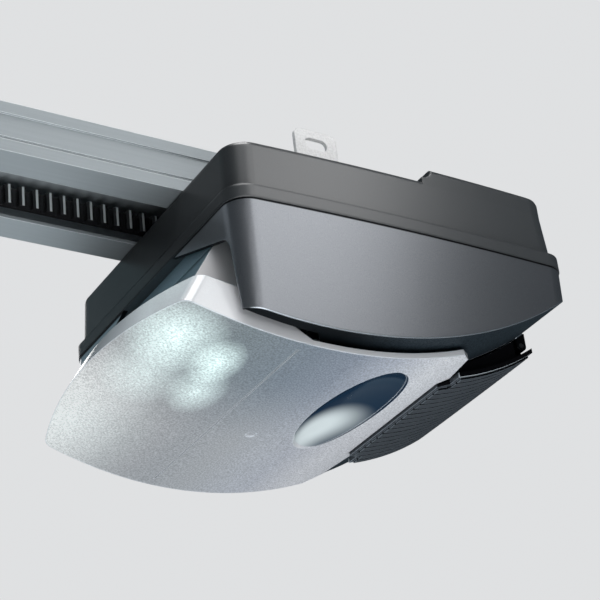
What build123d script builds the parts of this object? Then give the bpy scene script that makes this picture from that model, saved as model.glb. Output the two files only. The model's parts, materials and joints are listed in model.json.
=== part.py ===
"""Ceiling-hung belt-drive garage door opener: drive head, short rail, belt and trolley."""

import os
from math import pi, sqrt

from build123d import *

os.makedirs("parts", exist_ok=True)

# Frame: origin midway between the slots of the two ceiling ears, on the drive shaft's axis
# +X runs along the rail from the door towards the rear of the head, +Z is up

# Fits
slide_gap = 0.4
run_gap = 0.05
screw_gap = 0.05
press_gap = 0.02
cover_gap = 1.0
seat_gap = 0.03

# Ceiling ears
slot_rise = 19.0
slot_length = 14.0
slot_width = 7.0
ear_width = 26.0
ear_top = 8.5
ear_sheet = 2.3
ear_y = 78.0
ear_foot_length = 34.0
ear_screw_spread = 13.0
ear_screw_inset = 20.0
deck = -slot_rise

# Head plan, at the deck
front = -62.0
head_length = 203.0
head_half = 92.6
side_bow = 2.7
end_bow = 4.5
corner_radius = 13.0
rear = front + head_length
middle_x = (front + rear) / 2

# Black housing
deck_sheet = 3.0
wall = 2.5
seam_drop = 38.0
draft_out = 1.4
lip_height = 9.0
lip_out = 2.4
lip_groove = 1.2
step_offset = 117.0
step_rise = 9.0
scoop_radius = 7.0
edge_round = 3.0
rib_sheet = 4.0
seam = deck - seam_drop
deck_under = deck - deck_sheet
step_x = front + step_offset

# Hood below the seam
hood_out = 3.4
hood_taper = 2.2
hood_drop = 76.0
hood_radius = 250.0
hood_depth = 105.5
belly_offset = 55.0
belly_x = front + belly_offset
arch_half = 88.5
arch_crown = 26.0
arch_lean = 2.5
arch_shoulder = 58.5
arch_bend = 9.0
lens_opening_half = 72.0
lens_mouth_length = 42.0
tab_width = 16.0
tab_sheet = 4.0
tab_drop = 16.0
tab_y = 66.0
tab_reach = 1.4

# Lens
lens_radius = 240.0
lens_depth = 112.0
lens_sheet = 2.5
lens_plate = 3.5
lens_rim_drop = 75.6
lens_rim_half = 79.5
lens_rim_corner = -15.6
lens_rim_nose = -31.6
lens_flare = 0.6
lens_side_flare = 0.2
lens_corner_radius = 7.0
lens_length = 143.7
lens_tab_reach = 7.0
lens_tab_in = 49.0
lens_tab_out = 75.0
lens_tab_slant = 3.0
lens_corner_back = 8.0
rim_slope = 0.2
rim_bend_offset = 8.0
rim_end_offset = 40.0
lens_line_offset = 35.0
lens_line_width = 0.8
lens_line_depth = 0.35
dish_offset = 103.0
dish_y = -22.5
dish_half_length = 47.0
dish_half_width = 23.0
dish_depth = 9.0
dimple_offset = 58.8
dimple_y = 11.0
dimple_radius = 3.0
dimple_depth = 0.8
lens_rear = front + lens_length
lens_pivot_offset = -8.0
lens_pivot_drop = 82.0
lens_pin_radius = 2.0
lens_ear_radius = 3.5
lens_ear_sink = 0.3
lens_ear_y = 57.0
lens_ear_sheet = 4.0

# Lamp housing
lamp_top_drop = 41.0
lamp_low_drop = 84.0
lamp_top_front = 5.9
lamp_low_front = -20.0
lamp_rear_offset = 38.0
lamp_half = 67.5
lamp_wall = 2.0
lamp_boss_radius = 5.0
lamp_boss_depth = 6.0
lamp_boss_skin = 1.1
lamp_post_radius = 5.0
lamp_post_y = 58.0
lamp_post_offset = 16.0
lamp_board_sheet = 1.6
lamp_board_length = 24.0
lamp_board_width = 112.0
lamp_board_offset = 21.5
lamp_radius = 5.0
lamp_height = 4.0
lamp_pitch_x = 14.0
lamp_pitch_y = 28.0
lamp_screw_radius = 1.5
lamp_screw_head = 2.8
lamp_screw_head_height = 1.6
lamp_screw_inset = 4.0
lamp_post_bite = 13.0

# Service cover
cover_half = 57.0
cover_sheet = 2.8
cover_over = 9.0
cover_step = 2.1
cover_bow = 4.5
cover_end_bow = 5.0
cover_corner = 3.0
rib_count = 18
rib_width = 5.0
rib_height = 1.2
rib_inset = 2.0
cover_pivot_inset = 10.0
cover_lug_hang = 6.8
cover_tail_hang = 0.5
cover_pin_radius = 1.5
cover_knuckle_radius = 3.2
cover_knuckle_width = 8.0
cover_knuckle_y = 40.0
cover_lug_width = 5.0
cover_lug_gap = 0.6
cover_skirt = 2.0
cover_skirt_gap = 0.8
cover_opening_inset = 2.0
cover_opening_back = 13.0
cover_start = lens_rear + cover_gap
cover_end = head_length + cover_over
cover_pivot_offset = cover_end - cover_pivot_inset

# Rail
rail_half = 38.2
rail_height = 29.6
rail_wall = 2.0
rail_slot_half = 19.8
rail_crown = 1.2
rail_crown_height = 7.0
rail_groove_height = 8.0
rail_groove_width = 1.6
rail_groove_depth = 0.8
rail_end_gap = 2.0
rail_screw_y = 29.0
rail_screw_front = -42.0
rail_screw_rear = 36.0
rail_rear = step_x - rail_end_gap

# Toothed belt and pulleys
pitch = 8.0
pulley_teeth = 16
straight_pitches = 48
belt_width = 12.0
belt_mid = 13.8
belt_back = 1.5
belt_land = 0.7
tooth_radius = 2.4
tooth_sink = 1.0
tooth_start = 3
flange_out = 3.2
flange_sheet = 1.4
belt_side_gap = 0.4
pitch_radius = pitch * pulley_teeth / (2 * pi)
idler_x = -pitch * straight_pitches
belt_z = deck + belt_mid
pulley_radius = pitch_radius - belt_land - slide_gap
flange_radius = pitch_radius + belt_back + flange_out - 1.6
belt_low = belt_z - belt_width / 2
belt_high = belt_z + belt_width / 2
pulley_low = belt_low - belt_side_gap - flange_sheet
pulley_high = belt_high + belt_side_gap + flange_sheet

# Output shaft and gears
shaft_radius = 6.0
wheel_radius = 25.0
wheel_width = 12.0
wheel_teeth = 30
wheel_tooth_depth = 2.0
worm_radius = 7.0
worm_length = 44.0
worm_pitch = 5.2
worm_drop = 26.0
mesh_gap = 0.4
worm_y = wheel_radius + worm_radius + mesh_gap
worm_z = deck - worm_drop
worm_shaft_radius = 4.0
bearing_out = 5.0
bearing_width = 5.0

# Gearbox
gear_room = 2.5
case_wall = 3.0
case_drop = 40.0
case_floor = 6.0
lid_sheet = 4.0
flange_plate = 3.0
case_front = -38.0
case_rear = 42.0
flange_margin = 8.5
gear_screw_inset = 5.0
lid_low = deck_under - lid_sheet
case_low = deck - case_drop

# Motor
can_radius = 22.0
motor_clear = 16.5
can_wall = 2.0
can_hole = 6.0
cap_plug = 6.0
cap_sheet = 4.0
can_length = rear - wall - motor_clear - cap_sheet - case_rear
armature_radius = 16.0
armature_start = 14.0
armature_tail = 20.0
armature_length = can_length - armature_start - armature_tail
commutator_radius = 9.0
commutator_length = 10.0
motor_screw_side = 11.0
motor_screw_spread = 12.0
motor_screw_length = 6.0

# Screws
screw_radius = 2.0
screw_head = 3.8
screw_head_height = 2.6
screw_bite = 2.5

# Transformer
core_length = 60.0
core_width = 40.0
core_height = 42.0
core_limb = 20.0
window_width = 10.0
window_height = 30.0
coil_over = 9.0
coil_gap = 0.4
core_x = 78.0
core_y = -50.0
strap_sheet = 1.2
strap_width = 8.0
strap_inset = 2.0
strap_foot = 12.0

# Control board, tray and buttons
tray_drop = 67.5
tray_sheet = 2.5
tray_start = 130.0
tray_length = 42.0
tray_half = 66.0
tray_foot = 6.0
board_rise = 3.5
board_sheet = 1.6
board_half = 54.0
board_post_radius = 4.0
board_post_x = 17.0
board_post_y = 48.0
relay_size = 15.0
relay_height = 9.0
capacitor_radius = 5.0
capacitor_height = 9.5
terminal_length = 32.0
terminal_width = 9.0
terminal_height = 8.0
button_radius = 5.0
button_height = 3.5
button_stem = 2.4
button_stem_top = 1.5
button_gap = 1.2
button_travel = 1.0
button_pitch = 16.0
button_x = 4.0
button_y = -18.0
display_length = 14.0
display_width = 26.0
display_sheet = 1.5
display_y = 30.0

# Mains inlet
inlet_width = 28.0
inlet_height = 20.0
inlet_depth = 18.0
inlet_flange = 3.0
inlet_rim = 3.0
inlet_pocket = 11.0
inlet_y = -52.0
blade_length = 8.0
blade_width = 4.0
blade_sheet = 1.6
blade_pitch = 7.0
inlet_drop = 15.0

# Trolley
trolley_x = -227.0
trolley_length = 90.0
lip_gap = 0.3
shoe_sheet = 4.0
shoe_half = 34.0
neck_half = 18.8
hang_gap = 0.6
block_length = 64.0
block_half = 15.0
block_height = 26.0
clevis_gap = 12.0
clevis_length = 34.0
arm_hole = 4.1
arm_hole_drop = 17.0
arm_hole_x = -20.0
clamp_length = 40.0
clamp_wall = 3.6
lever_sheet = 4.0
lever_length = 46.0
lever_width = 12.0
lever_x = 20.0
lever_drop = 14.0
lever_gap = 0.5
lever_pin_radius = 3.0
lever_pin_depth = 9.0
lever_pin_head = 5.0
lever_pin_head_height = 2.0
latch_radius = 3.0
latch_x = 10.0
latch_drop = 20.0
latch_rise = 10.0

# Front end of the rail
idler_back = 38.0
rail_front = idler_x - idler_back
bracket_sheet = 3.0
bracket_depth = 23.0
bracket_wing = 24.0
wall_hole = 4.25
wall_hole_spread = 100.0
fork_sheet = 2.0
fork_half = 20.0
fork_web = 6.0
fork_reach = 12.0
fork_inset = 4.0
fork_lift = 0.6
axle_radius = 4.0
hub_radius = 9.0
stud_radius = 4.0
nut_across = 13.0
nut_height = 6.5
stud_over = 4.0


# Plane beyond the far side, for cuts that run across the whole width
full_span = 4 * head_half
far_side = Plane.XZ.offset(-full_span / 2)


def head_outline(grow, corner=corner_radius):
    """Plan of the head grown outwards: bowed sides and rear, straight front."""
    half = head_half + grow
    with BuildSketch(mode=Mode.PRIVATE) as outline:
        with BuildLine():
            near = ThreePointArc(
                (front - grow, -half), (middle_x, -half - side_bow), (rear + grow, -half)
            )
            back = ThreePointArc(near @ 1, (rear + grow + end_bow, 0), (rear + grow, half))
            far = ThreePointArc(back @ 1, (middle_x, half + side_bow), (front - grow, half))
            Line(far @ 1, near @ 0)
        make_face()
        fillet(outline.vertices(), corner)
    return outline.sketch


def hood_block(inset):
    """Solid inside the hood's skin: tapered plan closed below by the belly's arc."""
    radius = hood_radius - inset
    with BuildPart(mode=Mode.PRIVATE) as block:
        with BuildSketch(Plane.XY.offset(seam)):
            add(head_outline(hood_out - inset))
        with BuildSketch(Plane.XY.offset(seam - hood_drop)):
            add(head_outline(hood_out - hood_taper - inset))
        loft(ruled=True)
        with BuildSketch(far_side):
            with Locations((belly_x, deck - hood_depth + hood_radius)):
                Circle(radius)
        extrude(amount=full_span, mode=Mode.INTERSECT)
    return block.part


def lens_outline(drop, inset):
    """Plan of the lens at a depth below its rim: bowed nose, straight sides and rear."""
    half = lens_rim_half + lens_side_flare * drop - inset
    corner_x = front + lens_rim_corner - lens_flare * drop + inset
    nose_x = front + lens_rim_nose - lens_flare * drop + inset
    with BuildSketch(mode=Mode.PRIVATE) as outline:
        with BuildLine():
            nose = ThreePointArc((corner_x, -half), (nose_x, 0), (corner_x, half))
            Polyline(
                nose @ 1,
                (lens_rear - lens_corner_back, half),
                (lens_rear + 0.8, lens_tab_out),
                (lens_rear + lens_tab_reach, lens_tab_in),
                (lens_rear, lens_tab_in - lens_tab_slant),
                (lens_rear, lens_tab_slant - lens_tab_in),
                (lens_rear + lens_tab_reach, -lens_tab_in),
                (lens_rear + 0.8, -lens_tab_out),
                (lens_rear - lens_corner_back, -half),
                nose @ 0,
            )
        make_face()
        fillet(outline.vertices().group_by(Axis.X)[0], lens_corner_radius)
    return outline.sketch


def lens_block(inset):
    """Solid inside the lens's skin: flared tub closed below by an arc."""
    depth = lens_depth - lens_rim_drop
    with BuildPart(mode=Mode.PRIVATE) as block:
        with BuildSketch(Plane.XY.offset(deck - lens_rim_drop)):
            add(lens_outline(0, inset))
        with BuildSketch(Plane.XY.offset(deck - lens_depth)):
            add(lens_outline(depth, inset))
        loft(ruled=True)
        with BuildSketch(far_side):
            with Locations((belly_x, deck - lens_depth + lens_radius)):
                Circle(lens_radius - inset)
        extrude(amount=full_span, mode=Mode.INTERSECT)
    return block.part


def belly_height(offset, radius, depth):
    """Height of a belly arc at a distance behind the front face."""
    run = offset - belly_offset
    return deck - depth + radius - sqrt(radius * radius - run * run)


# Service cover's heights, taken from the lens in front and the hood behind
cover_lead_height = belly_height(lens_length + cover_gap, lens_radius, lens_depth)
cover_tail_height = belly_height(cover_pivot_offset, hood_radius, hood_depth)
cover_front_drop = deck - cover_lead_height + cover_step
cover_pivot_drop = deck - cover_tail_height + cover_lug_hang
cover_end_drop = cover_pivot_drop + cover_tail_hang
cover_mid_offset = (lens_length + cover_gap + cover_end) / 2
cover_mid_drop = (cover_front_drop + cover_end_drop) / 2 + cover_bow


def above_rim(gap):
    """Region above the lens's rim: a slope from the nose, then a line along the belly."""
    plate_radius = lens_radius - lens_plate
    plate_depth = lens_depth - lens_plate
    start_z = deck - lens_rim_drop + gap
    bend_z = start_z - rim_slope * (rim_bend_offset - lens_rim_nose)
    end_z = belly_height(rim_end_offset, plate_radius, plate_depth) + gap
    far_front = 2 * lens_rim_nose
    last_offset = lens_length + lens_tab_reach + 4
    mid_offset = (rim_end_offset + last_offset) / 2
    with BuildSketch(far_side, mode=Mode.PRIVATE) as region:
        with BuildLine():
            low = Polyline(
                (front + far_front, start_z - rim_slope * (far_front - lens_rim_nose)),
                (front + rim_bend_offset, bend_z),
                (front + rim_end_offset, end_z),
            )
            along = ThreePointArc(
                low @ 1,
                (front + mid_offset, belly_height(mid_offset, plate_radius, plate_depth) + gap),
                (front + last_offset, belly_height(last_offset, plate_radius, plate_depth) + gap),
            )
            Polyline(
                along @ 1,
                (front + last_offset, deck),
                (front + far_front, deck),
                low @ 0,
            )
        make_face()
    return region.sketch


# Places of the screws, shared by the screws and their holes
ear_screw_places = [
    (side_x, side_y * (ear_y - ear_screw_inset))
    for side_x in (-ear_screw_spread / 2, ear_screw_spread / 2)
    for side_y in (-1, 1)
]
rail_screw_places = [
    (place_x, side * rail_screw_y)
    for place_x in (rail_screw_front, rail_screw_rear)
    for side in (-1, 1)
]
flange_near = -wheel_radius - gear_room - case_wall - flange_margin
bore_radius = worm_shaft_radius + bearing_out + screw_gap
case_side = worm_y + bore_radius + case_wall - 1
flange_far = case_side + flange_margin
gear_screw_places = [
    (place_x, place_y)
    for place_x in (case_front + gear_screw_inset, case_rear - gear_screw_inset)
    for place_y in (flange_near + gear_screw_inset, flange_far - gear_screw_inset + 1)
]
lamp_post_places = [(front + lamp_post_offset, side * lamp_post_y) for side in (-1, 1)]
strap_x = core_x - core_length / 2 + strap_inset + strap_width / 2
strap_screw_y = core_width / 2 + strap_sheet + strap_foot / 2
strap_screw_places = [(strap_x, core_y + side * strap_screw_y) for side in (-1, 1)]
hood_screw_z = seam - tab_drop / 4
tab_face = rear + hood_out - wall + tab_reach
hood_screw_face = rear + hood_out + end_bow * 0.58
tray_mid_x = front + tray_start + tray_length / 2
tray_z = deck - tray_drop
board_post_places = [
    (tray_mid_x + side_x * board_post_x, side_y * board_post_y)
    for side_x in (-1, 1)
    for side_y in (-1, 1)
]

# Depths and insets of the sections that round the deck's edge
edge_steps = [
    (0, -edge_round),
    (0.13 * edge_round, -0.5 * edge_round),
    (0.5 * edge_round, -0.13 * edge_round),
    (edge_round, 0),
]

# Black housing: inverted tray with a raised rear deck and a lip at the seam
with BuildPart() as base_housing:
    for drop, grow in edge_steps:
        with BuildSketch(Plane.XY.offset(deck - drop)):
            add(head_outline(grow))
    with BuildSketch(Plane.XY.offset(seam)):
        add(head_outline(draft_out))
    loft(ruled=True)
    with BuildSketch(Plane.XY.offset(seam)):
        add(head_outline(draft_out + lip_out))
    extrude(amount=lip_height - lip_groove)
    # Raised rear deck
    for drop, grow in edge_steps + [(step_rise + edge_round, 0)]:
        with BuildSketch(Plane.XY.offset(deck + step_rise - drop)):
            add(head_outline(grow))
            with Locations((step_x + head_length / 2, 0)):
                Rectangle(head_length, 3 * head_half, mode=Mode.INTERSECT)
    loft(ruled=True)
    with BuildSketch(far_side):
        with Locations((step_x, deck + step_rise)):
            Circle(scoop_radius)
    extrude(amount=full_span, mode=Mode.SUBTRACT)
    with BuildSketch(Plane.XY.offset(seam)):
        add(head_outline(-wall, corner_radius - wall))
    extrude(amount=seam_drop - deck_sheet, mode=Mode.SUBTRACT)
    # Pockets under the raised deck, with ribs between
    pocket_x = (rear - wall - step_x - scoop_radius - rib_sheet) / 2
    pocket_y = (2 * head_half - 2 * corner_radius) / 3
    with BuildSketch(Plane.XY.offset(deck_under)):
        with Locations((step_x + scoop_radius + pocket_x, 0)):
            with GridLocations(0, pocket_y, 1, 3):
                Rectangle(2 * pocket_x - 2 * rib_sheet, pocket_y - rib_sheet)
    extrude(amount=step_rise, mode=Mode.SUBTRACT)
    # Tabs inside the rear wall that take the hood's screws
    for side in (-1, 1):
        with Locations((tab_face, side * tab_y, seam)):
            Box(2 * tab_sheet, tab_width, tab_drop, align=(Align.MAX, Align.CENTER, Align.CENTER))
    # Openings: drive shaft, screws and mains inlet
    with Locations((0, 0, deck)):
        Cylinder(shaft_radius + bearing_out + screw_gap, 4 * deck_sheet, mode=Mode.SUBTRACT)
    with Locations(*[(x, y, deck) for x, y in ear_screw_places + rail_screw_places]):
        Cylinder(screw_radius + screw_gap, 4 * deck_sheet, mode=Mode.SUBTRACT)
    with Locations(*[(x, y, deck) for x, y in lamp_post_places]):
        Cylinder(screw_radius + screw_gap, 4 * deck_sheet, mode=Mode.SUBTRACT)
    with Locations(*[(x, y, deck_under) for x, y in gear_screw_places + strap_screw_places]):
        Cylinder(
            screw_radius + screw_gap, screw_bite,
            align=(Align.CENTER, Align.CENTER, Align.MIN), mode=Mode.SUBTRACT,
        )
    with Locations((rear, inlet_y, deck - inlet_drop)):
        Box(8 * wall, inlet_width + 2 * screw_gap, inlet_height + 2 * screw_gap, mode=Mode.SUBTRACT)
    for side in (-1, 1):
        with Locations((rear, side * tab_y, hood_screw_z)):
            Cylinder(screw_radius + screw_gap, 8 * tab_sheet, rotation=(0, 90, 0), mode=Mode.SUBTRACT)
base_housing.part.label = "base_housing"
export_step(base_housing.part, "parts/base_housing.step")

# Silver hood: thin skin, open towards the lens, the service cover and the front arch
hood_outer = hood_block(0)
hood_inner = hood_block(wall)
with BuildPart() as hood:
    add(hood_outer)
    add(hood_inner, mode=Mode.SUBTRACT)
    with BuildSketch(Plane.YZ.offset(front - hood_out - 1)) as arch:
        with BuildLine():
            Polyline(
                (-arch_half, deck - lens_depth),
                (-arch_half + arch_lean, deck - arch_shoulder),
                (-arch_crown, seam + 1),
                (arch_crown, seam + 1),
                (arch_half - arch_lean, deck - arch_shoulder),
                (arch_half, deck - lens_depth),
                close=True,
            )
        make_face()
        fillet(arch.vertices().sort_by(Axis.Y)[2:4], arch_bend)
    extrude(amount=corner_radius + wall, mode=Mode.SUBTRACT)
    # Mouth for the lens tub, then the narrower opening above the lens plate and cover
    opening_half = cover_half - cover_opening_inset
    opening_back = front + cover_pivot_offset - cover_opening_back
    with BuildSketch(Plane.XY.offset(deck - lens_depth)):
        with BuildLine():
            Polyline(
                (front + 1, -arch_half),
                (front + lens_mouth_length, -arch_half),
                (front + lens_mouth_length + 12, -lens_opening_half),
                (lens_rear - 3, -lens_opening_half),
                (lens_rear - 3, -opening_half),
                (opening_back, -opening_half),
                (opening_back, opening_half),
                (lens_rear - 3, opening_half),
                (lens_rear - 3, lens_opening_half),
                (front + lens_mouth_length + 12, lens_opening_half),
                (front + lens_mouth_length, arch_half),
                (front + 1, arch_half),
                close=True,
            )
        make_face()
    extrude(amount=lens_depth - seam_drop - 8, mode=Mode.SUBTRACT)
    # Lugs that carry the service cover's pins, and holes for the rear screws
    cover_pivot_x = front + cover_pivot_offset
    cover_pivot_z = deck - cover_pivot_drop
    lug_top = belly_height(cover_pivot_offset, hood_radius, hood_depth) + wall / 2
    lug_mid = cover_knuckle_y + cover_knuckle_width + slide_gap + cover_lug_width / 2
    for side in (-1, 1):
        with Locations((cover_pivot_x, side * lug_mid, cover_pivot_z)):
            Cylinder(cover_knuckle_radius, cover_lug_width, rotation=(90, 0, 0))
            Box(
                2 * cover_knuckle_radius, cover_lug_width, lug_top - cover_pivot_z,
                align=(Align.CENTER, Align.CENTER, Align.MIN),
            )
        with Locations((cover_pivot_x, side * lug_mid, cover_pivot_z)):
            Cylinder(
                cover_pin_radius + screw_gap, 2 * cover_lug_width,
                rotation=(90, 0, 0), mode=Mode.SUBTRACT,
            )
        with Locations((rear + hood_out, side * tab_y, hood_screw_z)):
            Cylinder(
                screw_radius + screw_gap, 4 * wall + 2 * end_bow,
                rotation=(0, 90, 0), mode=Mode.SUBTRACT,
            )
hood.part.label = "hood"
export_step(hood.part, "parts/hood.step")

# Two screws through the hood's rear wall into the tabs
with BuildPart() as hood_screws:
    for side in (-1, 1):
        with Locations((hood_screw_face, side * tab_y, hood_screw_z)):
            Cylinder(
                screw_head, screw_head_height, rotation=(0, 90, 0),
                align=(Align.CENTER, Align.CENTER, Align.MIN),
            )
            Cylinder(
                screw_radius, 2.5 * tab_sheet, rotation=(0, 90, 0),
                align=(Align.CENTER, Align.CENTER, Align.MAX),
            )
hood_screws.part.label = "hood_screws"
export_step(hood_screws.part, "parts/hood_screws.step")

# Lens: flared tub in front running into a plate with an oval finger dish
dish_x = front + dish_offset
dish_surface = belly_height(dish_offset, lens_radius, lens_depth)
dish_sink = dish_depth / 2
dish_scale = 1 / sqrt(1 - (dish_sink / (dish_depth + dish_sink)) ** 2)


def dish_form(grow):
    """Ellipsoid centred below the lens surface, used for the finger dish and its wall."""
    with BuildPart(mode=Mode.PRIVATE) as form:
        Sphere(1)
        scale(
            by=(
                dish_half_width * dish_scale + grow,
                dish_half_length * dish_scale + grow,
                dish_depth + dish_sink + grow,
            )
        )
    return form.part.moved(Location((dish_x, dish_y, dish_surface - dish_sink)))


lens_outer = lens_block(0)
lens_inner = lens_block(lens_sheet)
rim_region = above_rim(0)
lens_pivot_x = front + lens_pivot_offset
lens_pivot_z = deck - lens_pivot_drop
lens_ear_mid = lens_ear_y + lens_ear_sheet / 2
lens_ear_front = lens_pivot_offset - lens_ear_radius
lens_ear_base = belly_height(lens_ear_front, lens_radius, lens_depth) + lens_ear_sink
with BuildPart() as dish_dome:
    add(dish_form(lens_sheet))
    add(lens_outer, mode=Mode.INTERSECT)
with BuildPart() as lens:
    add(lens_outer)
    add(lens_inner, mode=Mode.SUBTRACT)
    add(rim_region)
    extrude(amount=full_span, dir=(0, -1, 0), mode=Mode.SUBTRACT)
    add(dish_dome.part)
    add(dish_form(0), mode=Mode.SUBTRACT)
    # Fine line across the plate, and a small dimple
    line_z = belly_height(lens_line_offset, lens_radius, lens_depth) + lens_line_depth
    with Locations((front + lens_line_offset, 0, line_z)):
        Box(
            lens_line_width, 2 * lens_rim_half, lens_sheet,
            align=(Align.CENTER, Align.CENTER, Align.MAX), mode=Mode.SUBTRACT,
        )
    with Locations((front + dimple_offset, dimple_y, deck - lens_depth)):
        Cylinder(dimple_radius, 2 * dimple_depth, mode=Mode.SUBTRACT)
    # Hinge arms that rise from the tub's floor into the lamp housing
    for side in (-1, 1):
        with Locations((lens_pivot_x, side * lens_ear_mid, lens_pivot_z)):
            Cylinder(lens_ear_radius, lens_ear_sheet, rotation=(90, 0, 0))
            Box(
                2 * lens_ear_radius, lens_ear_sheet, lens_pivot_z - lens_ear_base,
                align=(Align.CENTER, Align.CENTER, Align.MAX),
            )
        with Locations((lens_pivot_x, side * lens_ear_mid, lens_pivot_z)):
            Cylinder(
                lens_pin_radius + run_gap, 2 * lens_ear_sheet,
                rotation=(90, 0, 0), mode=Mode.SUBTRACT,
            )
lens.part.label = "lens"
export_step(lens.part, "parts/lens.step")


def lamp_block(inset):
    """Tray form of the lamp housing: sloping front, upright rear."""
    slope = (lamp_low_front - lamp_top_front) / (lamp_low_drop - lamp_top_drop)
    top_front = front + lamp_top_front + slope * inset + inset
    low_front = front + lamp_low_front + inset
    back = front + lamp_rear_offset - inset
    with BuildPart(mode=Mode.PRIVATE) as block:
        with BuildSketch(Plane.XY.offset(deck - lamp_top_drop - inset)):
            with Locations(((top_front + back) / 2, 0)):
                Rectangle(back - top_front, 2 * (lamp_half - 1.5 - inset))
        with BuildSketch(Plane.XY.offset(deck - lamp_low_drop)):
            with Locations(((low_front + back) / 2, 0)):
                Rectangle(back - low_front, 2 * (lamp_half - inset))
        loft(ruled=True)
    return block.part


# Lamp housing: reflector tray hung from the deck on two posts
lamp_outer = lamp_block(0)
lamp_inner = lamp_block(lamp_wall)
with BuildPart() as lamp_housing:
    add(lamp_outer)
    add(lamp_inner, mode=Mode.SUBTRACT)
    with Locations(*[(x, y, deck - lamp_top_drop - lamp_wall / 2) for x, y in lamp_post_places]):
        Cylinder(
            lamp_post_radius, lamp_top_drop - deck_sheet + lamp_wall / 2,
            align=(Align.CENTER, Align.CENTER, Align.MIN),
        )
    with Locations(*[(x, y, deck_under) for x, y in lamp_post_places]):
        Cylinder(screw_radius + screw_gap, 24, mode=Mode.SUBTRACT)
    for side in (-1, 1):
        with Locations((lens_pivot_x, side * (lamp_half - lamp_boss_depth / 2), lens_pivot_z)):
            Cylinder(lens_pin_radius + 1.6, lamp_boss_depth - 0.8, rotation=(90, 0, 0))
        bore_mid = lamp_half - lamp_boss_skin - lamp_boss_depth / 2
        with Locations((lens_pivot_x, side * bore_mid, lens_pivot_z)):
            Cylinder(
                lens_pin_radius + screw_gap, lamp_boss_depth,
                rotation=(90, 0, 0), mode=Mode.SUBTRACT,
            )
    lamp_screw_x = front + lamp_board_offset
    with Locations((lamp_screw_x, 0, deck - lamp_top_drop)):
        with GridLocations(0, lamp_board_width - 2 * lamp_screw_inset, 1, 2):
            Cylinder(lamp_screw_radius + screw_gap, 4 * lamp_wall, mode=Mode.SUBTRACT)
lamp_housing.part.label = "lamp_housing"
export_step(lamp_housing.part, "parts/lamp_housing.step")

# Screws that hold the lamp housing's posts under the deck
with BuildPart() as lamp_post_screws:
    with Locations(*[(x, y, deck) for x, y in lamp_post_places]):
        Cylinder(
            screw_head, screw_head_height, align=(Align.CENTER, Align.CENTER, Align.MIN)
        )
        Cylinder(screw_radius, lamp_post_bite, align=(Align.CENTER, Align.CENTER, Align.MAX))
lamp_post_screws.part.label = "lamp_post_screws"
export_step(lamp_post_screws.part, "parts/lamp_post_screws.step")

# Stub pins on which the lens swings
with BuildPart() as lens_pins:
    pin_in = lens_ear_y - slide_gap
    pin_length = lamp_half - lamp_boss_skin - seat_gap - pin_in
    for side in (-1, 1):
        with Locations((lens_pivot_x, side * (pin_in + pin_length / 2), lens_pivot_z)):
            Cylinder(lens_pin_radius, pin_length, rotation=(90, 0, 0))
lens_pins.part.label = "lens_pins"
export_step(lens_pins.part, "parts/lens_pins.step")

# Lamp board against the housing's roof, with its lamps and screws
lamp_board_top = deck - lamp_top_drop - lamp_wall
with BuildPart() as lamp_board:
    with BuildSketch(Plane.XY.offset(lamp_board_top - lamp_board_sheet)):
        with Locations((lamp_screw_x, 0)):
            Rectangle(lamp_board_length, lamp_board_width)
            with GridLocations(0, lamp_board_width - 2 * lamp_screw_inset, 1, 2):
                Circle(lamp_screw_radius + screw_gap, mode=Mode.SUBTRACT)
    extrude(amount=lamp_board_sheet)
lamp_board.part.label = "lamp_board"
export_step(lamp_board.part, "parts/lamp_board.step")

with BuildPart() as lamps:
    with BuildSketch(Plane.XY.offset(lamp_board_top - lamp_board_sheet - lamp_height)):
        with Locations((lamp_screw_x, 0)):
            with GridLocations(lamp_pitch_x, lamp_pitch_y, 2, 4):
                Circle(lamp_radius)
    extrude(amount=lamp_height)
    fillet(lamps.faces().group_by(Axis.Z)[0].edges(), 2)
lamps.part.label = "lamps"
export_step(lamps.part, "parts/lamps.step")

with BuildPart() as lamp_board_screws:
    with Locations((lamp_screw_x, 0, lamp_board_top - lamp_board_sheet)):
        with GridLocations(0, lamp_board_width - 2 * lamp_screw_inset, 1, 2):
            Cylinder(
                lamp_screw_head, lamp_screw_head_height,
                align=(Align.CENTER, Align.CENTER, Align.MAX),
            )
            Cylinder(
                lamp_screw_radius, lamp_board_sheet + lamp_wall,
                align=(Align.CENTER, Align.CENTER, Align.MIN),
            )
lamp_board_screws.part.label = "lamp_board_screws"
export_step(lamp_board_screws.part, "parts/lamp_board_screws.step")


def cover_face(low, high, side_plane):
    """Side view of the service cover between two heights about its outer arc."""
    with BuildSketch(side_plane, mode=Mode.PRIVATE) as face:
        with BuildLine():
            under = ThreePointArc(
                (cover_start - 1, deck - cover_front_drop + low),
                (front + cover_mid_offset, deck - cover_mid_drop + low),
                (front + cover_end + 1, deck - cover_end_drop + low),
            )
            over = ThreePointArc(
                (cover_start - 1, deck - cover_front_drop + high),
                (front + cover_mid_offset, deck - cover_mid_drop + high),
                (front + cover_end + 1, deck - cover_end_drop + high),
            )
            Line(under @ 0, over @ 0)
            Line(under @ 1, over @ 1)
        make_face()
    return face.sketch


def cover_outline(inset):
    """Plan of the service cover drawn in: front notched around the lens's tabs, bowed tail."""
    half = cover_half - inset
    tail_x = front + cover_end - inset
    notch_x = cover_start + lens_tab_reach + inset
    notch_in = lens_tab_in - cover_gap - inset
    with BuildSketch(Plane.XY.offset(deck - lens_depth), mode=Mode.PRIVATE) as outline:
        with BuildLine():
            tail = ThreePointArc(
                (tail_x - cover_end_bow, -half), (tail_x, 0), (tail_x - cover_end_bow, half)
            )
            Polyline(
                tail @ 1,
                (notch_x, half),
                (notch_x, notch_in),
                (cover_start + inset, notch_in - lens_tab_slant),
                (cover_start + inset, lens_tab_slant - notch_in),
                (notch_x, -notch_in),
                (notch_x, -half),
                tail @ 0,
            )
        make_face()
        fillet(outline.vertices().group_by(Axis.X)[-1], cover_corner)
    return outline.sketch


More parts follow.
